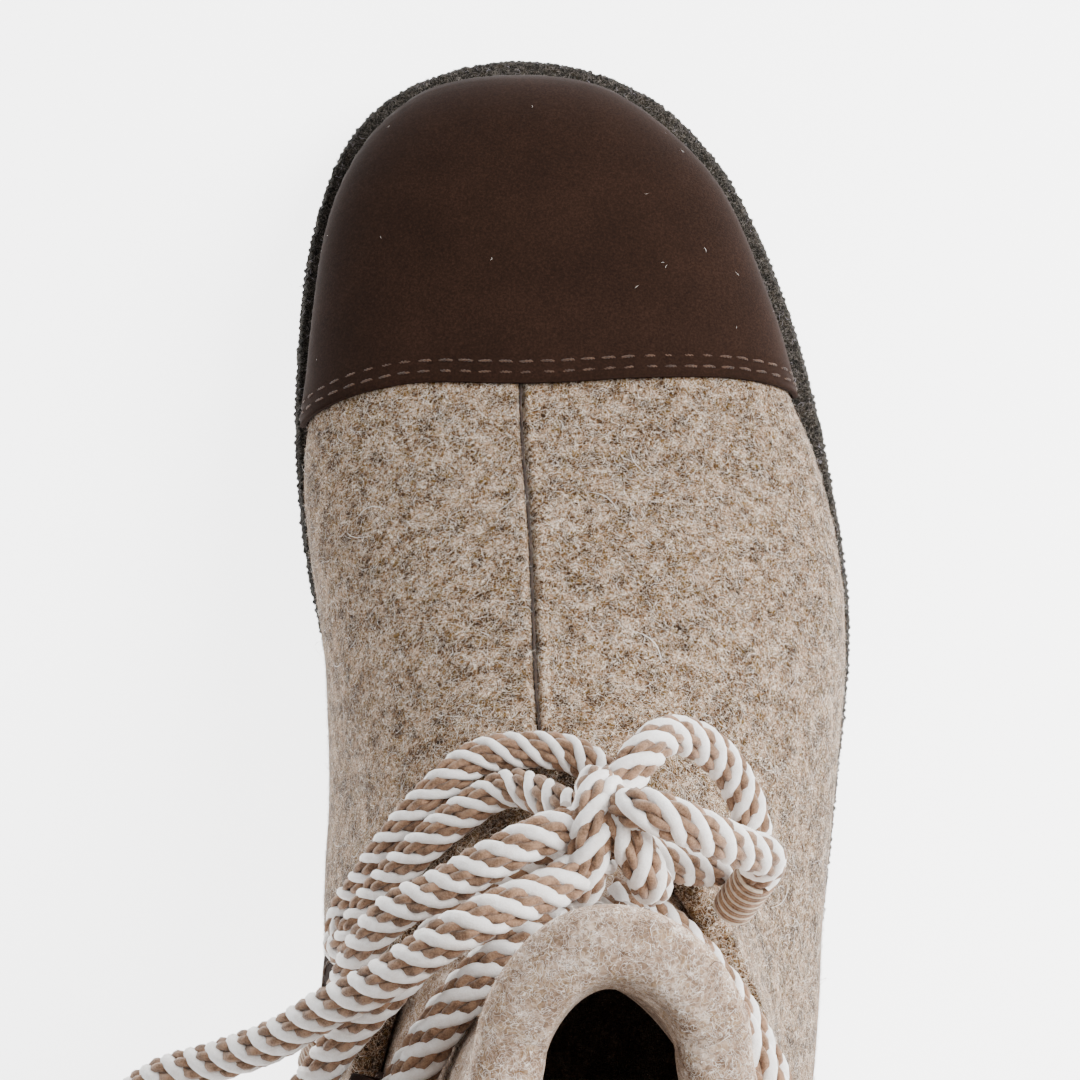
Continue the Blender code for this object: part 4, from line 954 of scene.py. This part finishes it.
def felt_wall(name, places, turns, out, inside, edge, relief, in_sight, felt):
    """A felt wall round the form: outer face, soft edge at its top, inner face."""
    top = places[-1]
    scale = np.linalg.norm(form(top, turns) - form(top - 0.01, turns), axis=-1) / 0.01
    level = places[places < top - EDGE_ROOM * edge / scale.min()]
    rows = [np.full(turns.shape, s) for s in level]
    outs = [out] * len(rows)
    inn = inside(top)
    for a in np.linspace(0.0, math.pi, EDGE_ROWS):
        lift = abs(math.sin(a)) ** EDGE_SQUARE
        side = math.copysign(abs(math.cos(a)) ** EDGE_SQUARE, math.cos(a))
        rows.append(top - edge / scale + edge * lift / scale)
        outs.append((out + inn) / 2.0 + (out - inn) / 2.0 * side)
    for s in (*level[::-2], places[0]):
        rows.append(np.full(turns.shape, s))
        outs.append(inside(s))
    s, depth, normal, points = wall(rows, outs, turns)
    share = np.clip((depth - inside(s)) / (out - inside(s)), 0.0, 1.0)
    points += normal * (relief(points) * share)[..., None]
    made = add_mesh(name, points, grid_faces(*s.shape, round_rows=True), felt)
    mark(made, share ** 2 * in_sight(points))
    return made


def make_upper():
    top = loop_place("topline")
    places = np.concatenate((np.linspace(-1.0, 0.0, FEATHER_ROWS)[:-1],
                             np.linspace(0.0, top, UPPER_ROWS)))
    return felt_wall("felt_shell", places, spread_turns(UPPER_TURNS), UPPER_OUT,
                     lambda s: UPPER_IN + 0.0 * s, UPPER_EDGE,
                     lambda points: felt_relief(points) + seam_relief(points),
                     lambda points: ~ahead_of_cap(points, FELT_SHOWS_TO), FELT_BEIGE)


def make_shaft():
    cuff = loop_place("cuff")
    hem = cuff + (1.0 - cuff) * np.array((HEM_FROM, HEM_TO))
    return felt_wall("felt_shaft", np.linspace(loop_place("instep"), 1.0, SHAFT_ROWS),
                     spread_turns(SHAFT_TURNS, SHAFT_NEAR_RIDGE), SHAFT_OUT,
                     lambda s: SHAFT_IN - HEM * ease(s, *hem), SHAFT_EDGE,
                     lambda points: SHAFT_SLACK * felt_relief(points) + gathers(points),
                     lambda points: points[..., 2] > SHAFT_FUZZ_FROM, FELT_COLLAR_PAINTED_LIGHTER)


# ---- toe cap ----
CAP_EDGE = (
    # x, y
    (-70.0, 48.0), (-43.5, 57.9), (-36.0, 59.8), (-26.0, 60.8), (-9.0, 60.2), (14.0, 61.8),
    (29.0, 62.6), (42.0, 61.8), (70.0, 55.0),
)
CAP_ROWS_OF_STITCHES = {"rear": 1.5, "front": 3.5}
CAP_LUMPS = (0.12, 15.0, 1.3)    # height, size, seed
STITCH_SINKS, STITCH_SINKS_OVER, EDGE_SINKS, EDGE_SINKS_OVER = 0.36, 0.5, 0.5, 0.9
CAP_TURNS, CAP_ROWS, CAP_CROWDING, CAP_EDGE_ROWS, CAP_EDGE_BULGE = 181, 90, 1.3, 7, 0.0016
CAP_WELD, CAP_LINT_FROM = 0.02, 6.0
FELT_SHOWS_TO = 1.0             # how far felt goes on with its fibres under the cap
cap_y, = graphs(CAP_EDGE)


def ahead_of_cap(points, inward):
    """Whether points lie ahead of a line at a distance inside the cap's rear edge."""
    return points[..., 1] > cap_y(points[..., 0]) + inward


def cap_place(turn, inward):
    """How far up the form a turn meets the line at a distance inside the rear edge."""
    return halved(np.full(turn.shape, -1.0), np.full(turn.shape, loop_place("vamp")),
                  lambda s: ahead_of_cap(form(s, turn), inward))


def cap_turns(count, inward=0.0):
    """Turns from the medial to the lateral bottom corner of the cap."""
    ends = [sign * halved(0.0, math.pi / 2.0, lambda turn: ahead_of_cap(
        form(-1.0, np.mod(sign * turn, 2.0 * math.pi)), inward)) for sign in (1.0, -1.0)]
    middle, reach = (ends[0] + ends[1]) / 2.0, (ends[0] - ends[1]) / 2.0
    return np.mod(middle - crowded(count) * reach, 2.0 * math.pi)


def cap_relief(points):
    """Soft lumps, sunk along the stitches and at the rear edge."""
    inward = points[..., 1] - cap_y(points[..., 0])
    sunk = sum(STITCH_SINKS * np.exp(-((inward - row) / STITCH_SINKS_OVER) ** 2)
               for row in CAP_ROWS_OF_STITCHES.values())
    lumps = soft_noise(points, *CAP_LUMPS)
    return lumps - sunk - EDGE_SINKS * np.exp(-(inward / EDGE_SINKS_OVER) ** 2)


def make_toe_cap():
    turns = cap_turns(CAP_TURNS)
    edge = cap_place(turns, 0.0)
    share = 1.0 - (1.0 - np.linspace(0.0, 1.0, CAP_ROWS)) ** CAP_CROWDING
    rows = [-1.0 + (edge + 1.0) * k for k in share[:-1]]
    outs = [COVER_OUT] * len(rows)
    for a in np.linspace(0.0, math.pi, CAP_EDGE_ROWS):
        rows.append(edge + CAP_EDGE_BULGE * math.sin(a))
        outs.append((COVER_OUT + COVER_IN) / 2.0 + LEATHER / 2.0 * math.cos(a))
    for k in (*share[-2::-6], 0.0):
        rows.append(-1.0 + (edge + 1.0) * k)
        outs.append(COVER_IN)
    s, depth, normal, points = wall(rows, outs, turns)
    points += normal * (cap_relief(points) * (depth > COVER_OUT - GAP))[..., None]
    made = add_mesh("leather_toe_cap", points,
                    grid_faces(*s.shape, round_rows=True, round_columns=False), LEATHER_BROWN)
    mend(made.data, CAP_WELD)
    places = np.empty(len(made.data.vertices) * 3, dtype=np.float32)
    made.data.vertices.foreach_get("co", places)
    mark(made, ahead_of_cap(places.reshape(-1, 3) / MM, CAP_LINT_FROM))
    return made


def make_ridge_seam():
    """A dark thread along the vamp's ridge that draws its two halves together; its dark colour is
    partly the thread's own and partly painted shade of the gap in the seam.
    """
    s = np.linspace(0.0, loop_place("topline"), SEAM_POINTS)
    middle = layer(s, 0.0 * s, np.full(s.shape, UPPER_OUT))
    shown = ~ahead_of_cap(middle, FELT_SHOWS_TO) & (middle[:, 1] > SEAM_END)
    s, middle = s[shown], middle[shown]
    waver, wander = (soft_noise(middle, *row) for row in (SEAM_WAVER, SEAM_WANDER))
    sunk = felt_relief(middle) - SEAM_DEPTH + waver
    line = middle + form_normal(s, 0.0 * s) * sunk[:, None]
    line[:, 0] += wander
    return grown(add_line("ridge_seam_thread", evenly(line, SEAM_STEP)), SEAM_TREE,
                 Finish=SEAM_THREAD_AND_SHADE)


# ---- stitches ----
STITCH_PITCH, STITCH_SHARE, STITCH_STEP = 3.5, 0.86, 0.6
STITCH_THREAD, STITCH_HEIGHT = 0.2, 1.5                # radius, and height in radii
STITCH_DIP, STITCH_FULLNESS = -0.8, 0.7                # shares of its height and of its half
THREAD_LAY, THREAD_ORBIT, THREAD_STEP, THREAD_PLY = 6.5, 0.6, 1.3, 0.72     # in thread radii
STITCH_WOBBLE = (0.06, 0.1, 0.07)
CAP_THREAD, CAP_THREAD_SUNK, CAP_STITCH_SHARE = 0.19, 0.31, 0.72
CAP_SEAM_LOW, CAP_SEAM_POINTS = -0.9, 400


def stitch_group():
    """Two-ply thread stitches laid end to end along a seam, each dipping in at its ends."""
    t, given = new_group("thread stitches", {
        "Seam": "Geometry", "Pitch": 0.0035, "Length": 0.0031, "Thread": 0.00024,
        "Height": 0.0004, "Finish": "Material"})
    curve = t.add("GeometryNodeMeshToCurve", given["Seam"])
    marks = t.add("GeometryNodeResampleCurve", curve, mode="LENGTH",
                  at={"Length": given["Pitch"]})
    turn = t.add("FunctionNodeAxesToRotation", primary_axis="X", secondary_axis="Z",
                 at={"Primary Axis": t.add("GeometryNodeInputTangent"),
                     "Secondary Axis": t.attribute("up", "FLOAT_VECTOR")})
    half, back = t.times(given["Length"], 0.5), t.times(given["Length"], -0.5)
    low, thread = t.times(given["Height"], STITCH_DIP), given["Thread"]
    arch = t.add("GeometryNodeCurvePrimitiveBezierSegment", mode="POSITION", at={
        "Resolution": 8, "Start": t.xyz(back, 0.0, low), "End": t.xyz(half, 0.0, low),
        "Start Handle": t.xyz(t.times(back, STITCH_FULLNESS), 0.0, given["Height"]),
        "End Handle": t.xyz(t.times(half, STITCH_FULLNESS), 0.0, given["Height"])})
    plies = t.use(TWIST, arch, Strands=2, Lay=t.times(thread, THREAD_LAY),
                  Orbit=t.times(thread, THREAD_ORBIT), Step=t.times(thread, THREAD_STEP))
    stitch = t.use(TUBE, plies, Radius=t.times(thread, THREAD_PLY), Sides=5,
                   Finish=given["Finish"])
    wobble = t.random("FLOAT_VECTOR", Min=tuple(-turn for turn in STITCH_WOBBLE),
                      Max=STITCH_WOBBLE, Seed=4)
    turned = t.add("FunctionNodeRotateRotation", turn, wobble, rotation_space="LOCAL")
    placed = t.add("GeometryNodeInstanceOnPoints", marks,
                   at={"Instance": stitch, "Rotation": turned})
    real = t.add("GeometryNodeRealizeInstances", placed)
    return t.result(Mesh=t.dyed(real, given["Finish"]))


STITCHES = stitch_group()


def make_stitches(name, s, turn, out, pitch=STITCH_PITCH, thread=STITCH_THREAD,
                  share=STITCH_SHARE):
    """Stitches along a line on the form, at a distance out from it."""
    line = layer(s, turn, np.full(s.shape, out))
    along = distances(line)
    places = np.linspace(0.0, along[-1], int(along[-1] / STITCH_STEP))
    even, ups = (at_places(rows, along, places) for rows in (line, form_normal(s, turn)))
    return grown(add_line(name, even, ups), STITCHES, Pitch=pitch * MM,
                 Length=share * pitch * MM, Thread=thread * MM,
                 Height=STITCH_HEIGHT * thread * MM, Finish=THREAD_TAN)


def make_cap_stitches():
    rows = []
    for name, inward in CAP_ROWS_OF_STITCHES.items():
        turns = cap_turns(CAP_SEAM_POINTS, inward)
        s = cap_place(turns, inward)
        keep = s > CAP_SEAM_LOW
        rows.append(make_stitches("cap_stitches_" + name, s[keep], turns[keep],
                                  COVER_OUT - CAP_THREAD_SUNK, thread=CAP_THREAD,
                                  share=CAP_STITCH_SHARE))
    return rows


# ---- tab, eyelet, keeper ----
TAB_Y, TAB_Z, TAB_LENGTH, TAB_HEIGHT = -41.6, 63.5, 18.0, 20.0
TAB_ROUNDED, TAB_GRID = 0.28, 31
TAB_SEAM_INSIDE, TAB_SEAM_SQUARE, TAB_SEAM_POINTS = 0.80, 0.75, 200
EYELET_Y, EYELET_Z = -27.3, 65.0
EYELET_FLANGE, EYELET_BARREL, EYELET_HOLE, EYELET_SHEET = 9.6, 6.8, 5.8, 0.8
EYELET_SIDES = 64
KEEPER_Y, KEEPER_LENGTH, KEEPER_LOW, KEEPER_HIGH, KEEPER_FOOT = -51.0, 12.0, 87.5, 117.0, 5.0
KEEPER_RISE_OUT, KEEPER_RISE_IN = 0.6, 3.6             # where it leaves its feet
KEEPER_SEAM_END, KEEPER_SEAM_SIDE = 2.4, 1.2           # insets of its stitches
KEEPER_ROWS, KEEPER_COLUMNS = 61, 19
TAB_PITCH, KEEPER_PITCH = 2.8, 2.6
SOFT_EDGE, SOFT_SECOND, SOFT_BACK = 0.38, 0.1, 0.4


def leather_patch(name, y, z, inner, outer):
    """Leather on the medial side over a grid of places and heights, with softened edges."""
    rows, columns = y.shape
    s, turn = locate(y, z, MEDIAL)
    normal, base = form_normal(s, turn), form(s, turn)
    a, b = (np.minimum(np.arange(n), np.arange(n)[::-1]) for n in (rows, columns))
    edge = np.minimum(a[:, None], b[None, :])
    soft = np.select((edge == 0, edge == 1), (SOFT_EDGE, SOFT_SECOND), 0.0)
    front = base + normal * (outer - soft)[..., None]
    back = base + normal * (inner + soft * SOFT_BACK)[..., None]
    count = rows * columns
    faces = grid_faces(rows, columns, round_columns=False)
    faces += [[k + count for k in face[::-1]] for face in faces]
    grid = np.arange(count).reshape(rows, columns)
    rim = np.concatenate((grid[0], grid[1:, -1], grid[-1, -2::-1], grid[-2:0:-1, 0])).tolist()
    faces += [(k, nxt, nxt + count, k + count) for k, nxt in zip(rim, rim[1:] + rim[:1])]
    return add_mesh(name, np.stack((front, back)), faces, LEATHER_BROWN)


def tab_place(a, b):
    """Place and height on the tab, whose sides bow, from -1 to 1 each way."""
    return (TAB_Y + TAB_LENGTH / 2.0 * a * np.sqrt(1.0 - TAB_ROUNDED * b * b),
            TAB_Z + TAB_HEIGHT / 2.0 * b * np.sqrt(1.0 - TAB_ROUNDED * a * a))


def make_lace_tab():
    y, z = tab_place(*np.meshgrid(crowded(TAB_GRID), crowded(TAB_GRID), indexing="ij"))
    return leather_patch("leather_lace_tab", y, z, COVER_IN, COVER_OUT)


def make_tab_stitches():
    a = np.linspace(0.0, 2.0 * math.pi, TAB_SEAM_POINTS)
    size = np.maximum(np.abs(np.cos(a)), np.abs(np.sin(a))) ** TAB_SEAM_SQUARE
    size = TAB_SEAM_INSIDE / size
    s, turn = locate(*tab_place(np.cos(a) * size, np.sin(a) * size), MEDIAL)
    return make_stitches("tab_stitches", s, turn, COVER_OUT, pitch=TAB_PITCH)


def make_keeper():
    """The loop of leather over the rope: sewn feet, and a bulge between them."""
    z = np.linspace(KEEPER_LOW, KEEPER_HIGH, KEEPER_ROWS)
    foot, bulge = SHAFT_OUT + GAP, SHAFT_OUT + 3.0 * SOFT_GAP + ROPE
    low, high = KEEPER_LOW + KEEPER_FOOT, KEEPER_HIGH - KEEPER_FOOT
    full = ease(z, low - KEEPER_RISE_OUT, low + KEEPER_RISE_IN)
    full = full * (1.0 - ease(z, high - KEEPER_RISE_IN, high + KEEPER_RISE_OUT))
    y = KEEPER_Y + KEEPER_LENGTH * crowded(KEEPER_COLUMNS) / 2.0
    y, z = np.meshgrid(y, z, indexing="ij")
    inner = np.broadcast_to(foot + (bulge - foot) * full, y.shape)
    return leather_patch("leather_rope_keeper", y, z, inner, inner + LEATHER)


def make_keeper_stitches():
    rows = []
    reach = KEEPER_LENGTH / 2.0 - KEEPER_SEAM_SIDE
    for name, z in (("low", KEEPER_LOW + KEEPER_SEAM_END),
                    ("high", KEEPER_HIGH - KEEPER_SEAM_END)):
        s, turn = locate(np.linspace(KEEPER_Y - reach, KEEPER_Y + reach, 40), z, MEDIAL)
        rows.append(make_stitches("keeper_stitches_" + name, s, turn, SHAFT_OUT + GAP + LEATHER,
                                  pitch=KEEPER_PITCH))
    return rows


def make_eyelet():
    """Turned metal eyelet with rolled flanges on both faces of the felt."""
    s, turn = locate(EYELET_Y, EYELET_Z, MEDIAL)
    point, normal = Vector(form(s, turn)), Vector(form_normal(s, turn))
    place = Matrix.Translation(point) @ normal.to_track_quat("Z", "Y").to_matrix().to_4x4()
    hole, barrel, flange = EYELET_HOLE / 2.0, EYELET_BARREL / 2.0, EYELET_FLANGE / 2.0
    face, back = SOFT_GAP, -FELT - SOFT_GAP
    # radius and height round its section: front flange, barrel, back flange
    profile = [(hole, face - 0.5), (hole + 0.06, face + 0.35), (hole + 0.3, face + 0.68),
               (hole + 0.75, face + EYELET_SHEET), (flange - 0.9, face + EYELET_SHEET - 0.1),
               (flange - 0.3, face + 0.45), (flange, face + 0.12), (flange - 0.15, face),
               (barrel, face), (barrel, back), (flange - 0.7, back), (flange - 0.6, back - 0.3),
               (flange - 0.9, back - 0.5), (hole + 0.2, back - 0.5), (hole, back - 0.3)]
    points = [place @ Vector((r * math.cos(a), r * math.sin(a), h))
              for a in np.linspace(0.0, 2.0 * math.pi, EYELET_SIDES, endpoint=False)
              for r, h in profile]
    return add_mesh("metal_lace_eyelet", points,
                    grid_faces(EYELET_SIDES, len(profile), round_rows=True), STEEL)


# ---- sole ----
EDGE_POINTS, EDGE_SIDE_ROWS = 1900, 17
EDGE_LUMPS, EDGE_LUMP_ROWS, EDGE_LUMP, EDGE_LUMP_LEAST = 440, 4, 0.6, 0.6
EDGE_BOW, EDGE_LIFT = 1.2, 0.05
EDGE_GRAIN, EDGE_GRAIN_OUT, EDGE_GRAIN_UP = (1.0, 1.1, 0.0), 0.4, 0.12
EDGE_TOP_INSETS, EDGE_FOOT_INSETS = (7.0, 4.5, 3.2, 2.2, 1.6), (1.9, 4.0, 7.0)
INSOLE_INSET, INSOLE_POINTS = FELT + 0.5, 200
INSOLE_LUMPS = (0.1, 6.0, 2.2)  # height, size, seed
INSOLE_ROWS = (
    # inset beyond the first, drop below the top
    (0.0, INSOLE), (0.0, 1.2), (0.35, 0.35), (1.0, 0.0), (4.0, 0.0), (9.0, 0.3), (15.0, 0.7),
    (21.0, 0.9),
)


def make_midsole():
    """The grey wool edge of the sole: a smooth top band and a knobbly side."""
    section = [(inset, 1.0, 0.0) for inset in EDGE_TOP_INSETS]
    section += [(EDGE_BOW * abs(2.0 * a - 1.0) ** 3, 1.0 - a, 1.0)
                for a in np.linspace(0.0, 1.0, EDGE_SIDE_ROWS)]
    section += [(inset, 0.0, 0.0) for inset in EDGE_FOOT_INSETS]
    ring = np.vstack((RIM_CURVE, RIM_CURVE[:1]))
    along = distances(ring)
    base = at_places(ring, along, np.linspace(0.0, along[-1], EDGE_POINTS, endpoint=False))
    out, y = outward(base), base[:, 1]
    lumps = np.arange(EDGE_POINTS) * (2.0 * math.pi * EDGE_LUMPS / EDGE_POINTS)
    low, high = sole_joint(y) + EDGE_LIFT, sole_top(y)
    points = []
    for row, (inset, share, rough) in enumerate(section):
        phase = (row // EDGE_LUMP_ROWS) * math.pi
        lump = rough * EDGE_LUMP * (np.abs(np.sin(lumps / 2.0 + phase / 2.0)) - 0.5)
        height = abs(math.sin(row * math.pi / EDGE_LUMP_ROWS))
        lump = lump * (EDGE_LUMP_LEAST + (1.0 - EDGE_LUMP_LEAST) * height)
        place = base - out * (inset - lump)[:, None]
        points.append(np.column_stack((place, low + (high - low) * share)))
    points = np.array(points)
    grain = soft_noise(points, *EDGE_GRAIN)
    rough = np.array([row[2] for row in section])[:, None]
    points[..., :2] += out[None] * (grain * rough * EDGE_GRAIN_OUT)[..., None]
    points[..., 2] += grain * EDGE_GRAIN_UP
    made = add_rings("wool_sole_edge", points, WOOL_GREY)
    mark(made, np.ones(len(made.data.vertices)))
    return made


def make_insole():
    """Felt insole, a little dished under heel and ball."""
    pick = np.linspace(0, len(RIM_CURVE), INSOLE_POINTS, endpoint=False).astype(int)
    points = []
    for extra, drop in INSOLE_ROWS:
        amount = FEATHER_AMOUNT + (INSOLE_INSET + extra)
        ring = (RIM_CURVE - RIM_OUT * amount[:, None])[pick]
        points.append(np.column_stack((ring, sole_top(ring[:, 1]) + GAP + INSOLE - drop)))
    points = np.array(points)
    points[1:, :, 2] += soft_noise(points[1:], *INSOLE_LUMPS)
    return add_rings("felt_footbed", points, FELT_INSOLE)


# ---- hairs ----
FIBRE_TAPER = 3.0
FIBRE_LEAST, FIBRE_MOST = (0.5, 0.8, 0.4), (1.4, 1.2, 1.7)      # of its length, width and bow


def hair_group():
    """Short curved fibres strewn over a surface, lying on it at random turns."""
    t, given = new_group("loose fibres", {
        "Wall": "Geometry", "Density": 500000.0, "Length": 0.0022, "Width": 0.00007,
        "Bow": 0.08, "Curl": 0.9, "Steps": 3, "Lift": 0.25, "Seed": 1, "Finish": "Material"})
    length, lift = given["Length"], given["Lift"]
    spots = t.add("GeometryNodeDistributePointsOnFaces", given["Wall"], at={
        "Density": t.times(given["Density"], t.attribute("shown", "FLOAT")),
        "Seed": given["Seed"]})
    toned = t.add("GeometryNodeStoreNamedAttribute", spots.outputs["Points"], data_type="FLOAT",
                  domain="POINT", at={"Name": "shade", "Value": t.random("FLOAT", Seed=11)})
    ribbon = t.add("GeometryNodeMeshGrid", at={
        "Size X": length, "Size Y": given["Width"], "Vertices X": given["Steps"],
        "Vertices Y": 2})
    place = t.add("ShaderNodeSeparateXYZ", t.add("GeometryNodeInputPosition"))
    along = t.math("DIVIDE", place.outputs["X"], length)
    square = t.times(along, along)
    taper = t.times(t.times(place.outputs["Y"], square), -FIBRE_TAPER)
    curl = t.times(t.times(square, given["Curl"]), length)
    bow = t.times(t.math("SUBTRACT", 1.0, t.times(square, 4.0)), t.times(given["Bow"], length))
    bent = t.add("GeometryNodeSetPosition", ribbon.outputs["Mesh"], at={
        "Offset": t.xyz(0.0, t.plus(taper, curl), bow)})
    tilt = t.times(lift, -1.0)
    spin = t.random("FLOAT_VECTOR", Min=t.xyz(tilt, tilt, 0.0),
                    Max=t.xyz(lift, lift, 2.0 * math.pi), Seed=5)
    turned = t.add("FunctionNodeRotateRotation", spots.outputs["Rotation"], spin,
                   rotation_space="LOCAL")
    size = t.random("FLOAT_VECTOR", Min=FIBRE_LEAST, Max=FIBRE_MOST, Seed=8)
    placed = t.add("GeometryNodeInstanceOnPoints", toned, at={
        "Instance": bent, "Rotation": turned, "Scale": size})
    smooth = t.add("GeometryNodeSetShadeSmooth", t.add("GeometryNodeRealizeInstances", placed))
    return t.result(Mesh=t.dyed(smooth, given["Finish"]))


HAIRS = hair_group()


def strew(name, wall, finish, slot="felt_beige", **values):
    """Fibres over a piece, where it is marked, ridden on the boot."""
    fit(grown(put(name, wall.data), HAIRS, Finish=finish, **values), slot)


# ---- stage and camera ----
FLOOR_GLOW = 4.0                        # the floor is a lit table
WORLD_LIGHT, BACKDROP = 0.36, 3.6       # the world as a light, and as the camera sees it
LIGHTS = (
    # name, place, breadth, power
    ("key light", (0.42, 0.16, 0.5), 0.42, 9.0), ("fill light", (-0.6, 0.1, 0.75), 0.9, 0.9),
    ("back light", (0.1, -0.7, 0.6), 0.8, 3.0),
)
LIGHTS_AIM = (0.0, 0.02, 0.05)
LENS, FRAME_WIDTH, CAMERA_NEAR, CAMERA_TILT = 51.0, 36.0, 0.01, 8.0
CAMERA_PLACE = (-0.0057, -0.0029, 0.305)
FLOOR_HALF, FLOOR_DROP, FLOOR_GREY = 3.0, 0.0002, 0.92


def make_stage():
    """The floor, a little below the sole, lit like a light table."""
    mesh = bpy.data.meshes.new("floor")
    mesh.from_pydata([(x * FLOOR_HALF, y * FLOOR_HALF, 0.0)
                      for x, y in ((-1, -1), (1, -1), (1, 1), (-1, 1))], [], [(0, 1, 2, 3)])
    made, _ = start_material("floor pale")
    shader = made.node_tree.nodes["Principled BSDF"]
    for name, value in (("Base Color", (FLOOR_GREY,) * 3 + (1.0,)), ("Roughness", 0.9),
                        ("Emission Color", (1.0, 1.0, 1.0, 1.0)),
                        ("Emission Strength", FLOOR_GLOW)):
        shader.inputs[name].default_value = value
    mesh.materials.append(made)
    floor = put("floor", mesh)
    floor.location.z = -FLOOR_DROP


def make_lights():
    for name, place, breadth, power in LIGHTS:
        lamp = bpy.data.lights.new(name, "AREA")
        lamp.shape, lamp.size, lamp.energy = "DISK", breadth, power
        made = put(name, lamp)
        made.location = place
        aim = Vector(LIGHTS_AIM) - Vector(place)
        made.rotation_euler = aim.to_track_quat("-Z", "Y").to_euler()
    world = bpy.data.worlds.new("studio")
    bpy.context.scene.world = world
    world.use_nodes = True
    sky, shown = Tree(world.node_tree), world.node_tree.nodes["Background"].inputs
    shown["Color"].default_value = (1.0, 1.0, 1.0, 1.0)
    seen = sky.add("ShaderNodeLightPath").outputs["Is Camera Ray"]
    feed(world.node_tree, shown["Strength"],
         sky.plus(sky.times(seen, BACKDROP - WORLD_LIGHT), WORLD_LIGHT))


def make_camera():
    data = bpy.data.cameras.new("camera")
    data.lens, data.sensor_width, data.clip_start = LENS, FRAME_WIDTH, CAMERA_NEAR
    camera = put("camera", data)
    camera.location = CAMERA_PLACE
    camera.rotation_euler = (math.radians(CAMERA_TILT), 0.0, 0.0)
    bpy.context.scene.camera = camera


# ---- build ----
def fit(piece, slot, *nodes):
    """Rides a piece on the boot and hides the nodes it stands for; the finish it is given (slot) is
    not used.
    """
    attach(piece, "root")
    if nodes:
        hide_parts(*nodes)


make_camera()
knot = make_knot()
for part in knot:
    fit(part, "rope_tan", "lace_knot")
tips = {}
for side, route in (("left", END_LEFT), ("right", END_RIGHT)):
    tips[side] = make_tip("rope_whipping_" + side, route)
    fit(tips[side], "thread_tan", "lace_tip_" + side)
make_cord("lace_loop_left", LOOP_LEFT)
make_cord("lace_loop_right", LOOP_RIGHT)
make_cord("lace_end_left", END_LEFT)
make_cord("lace_end_right", END_RIGHT)
fit(make_wraps(), "rope_tan", "lace_wraps")
fit(make_bars(), "rope_tan", "lace_bars")
fit(make_eyelet_run(), "rope_tan", "lace_bars")
shell, collar, cap = make_upper(), make_shaft(), make_toe_cap()
strew("wool_fuzz_shell", shell, WOOL_FIBRE, Density=0.82e6)
strew("wool_fuzz_collar", collar, WOOL_FIBRE, Density=0.8e6, Seed=2)
strew("wool_halo_shell", shell, WHITE_FIBRE, Density=0.16e6, Length=0.0017, Width=0.00006,
      Bow=0.2, Lift=1.1, Seed=5)
strew("wool_halo_collar", collar, WHITE_FIBRE, Density=0.14e6, Length=0.0015, Width=0.00005,
      Bow=0.2, Lift=1.1, Seed=7)
strew("stray_wool_shell", shell, WHITE_FIBRE, Density=2.4e3, Length=0.0075, Width=0.00011,
      Bow=0.12, Curl=0.9, Steps=9, Lift=0.2, Seed=3)
strew("stray_wool_cap", cap, WHITE_FIBRE, Density=4.5e3, Length=0.0009, Width=0.00005, Bow=0.1,
      Steps=4, Seed=4)
fit(shell, "felt_beige", "upper")
fit(collar, "felt_beige", "shaft")
fit(cap, "leather_brown", "toe_cap")
fit(make_ridge_seam(), "thread_tan")
for row in make_cap_stitches():
    fit(row, "thread_tan")
fit(make_lace_tab(), "leather_brown", "lace_tab")
fit(make_tab_stitches(), "thread_tan")
fit(make_keeper(), "leather_brown", "rope_keeper")
for row in make_keeper_stitches():
    fit(row, "thread_tan")
fit(make_eyelet(), "metal_eyelet", "eyelet")
rim = make_midsole()
strew("wool_fuzz_sole_edge", rim, LINT_FIBRE, "sole_edge_grey", Density=0.5e6, Length=0.0012,
      Width=0.0001, Bow=0.15, Lift=0.6, Seed=6)
fit(rim, "sole_edge_grey", "midsole")
fit(make_insole(), "felt_insole", "insole")
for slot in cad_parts["outsole"].material_slots:
    slot.material = RUBBER
make_stage()
make_lights()
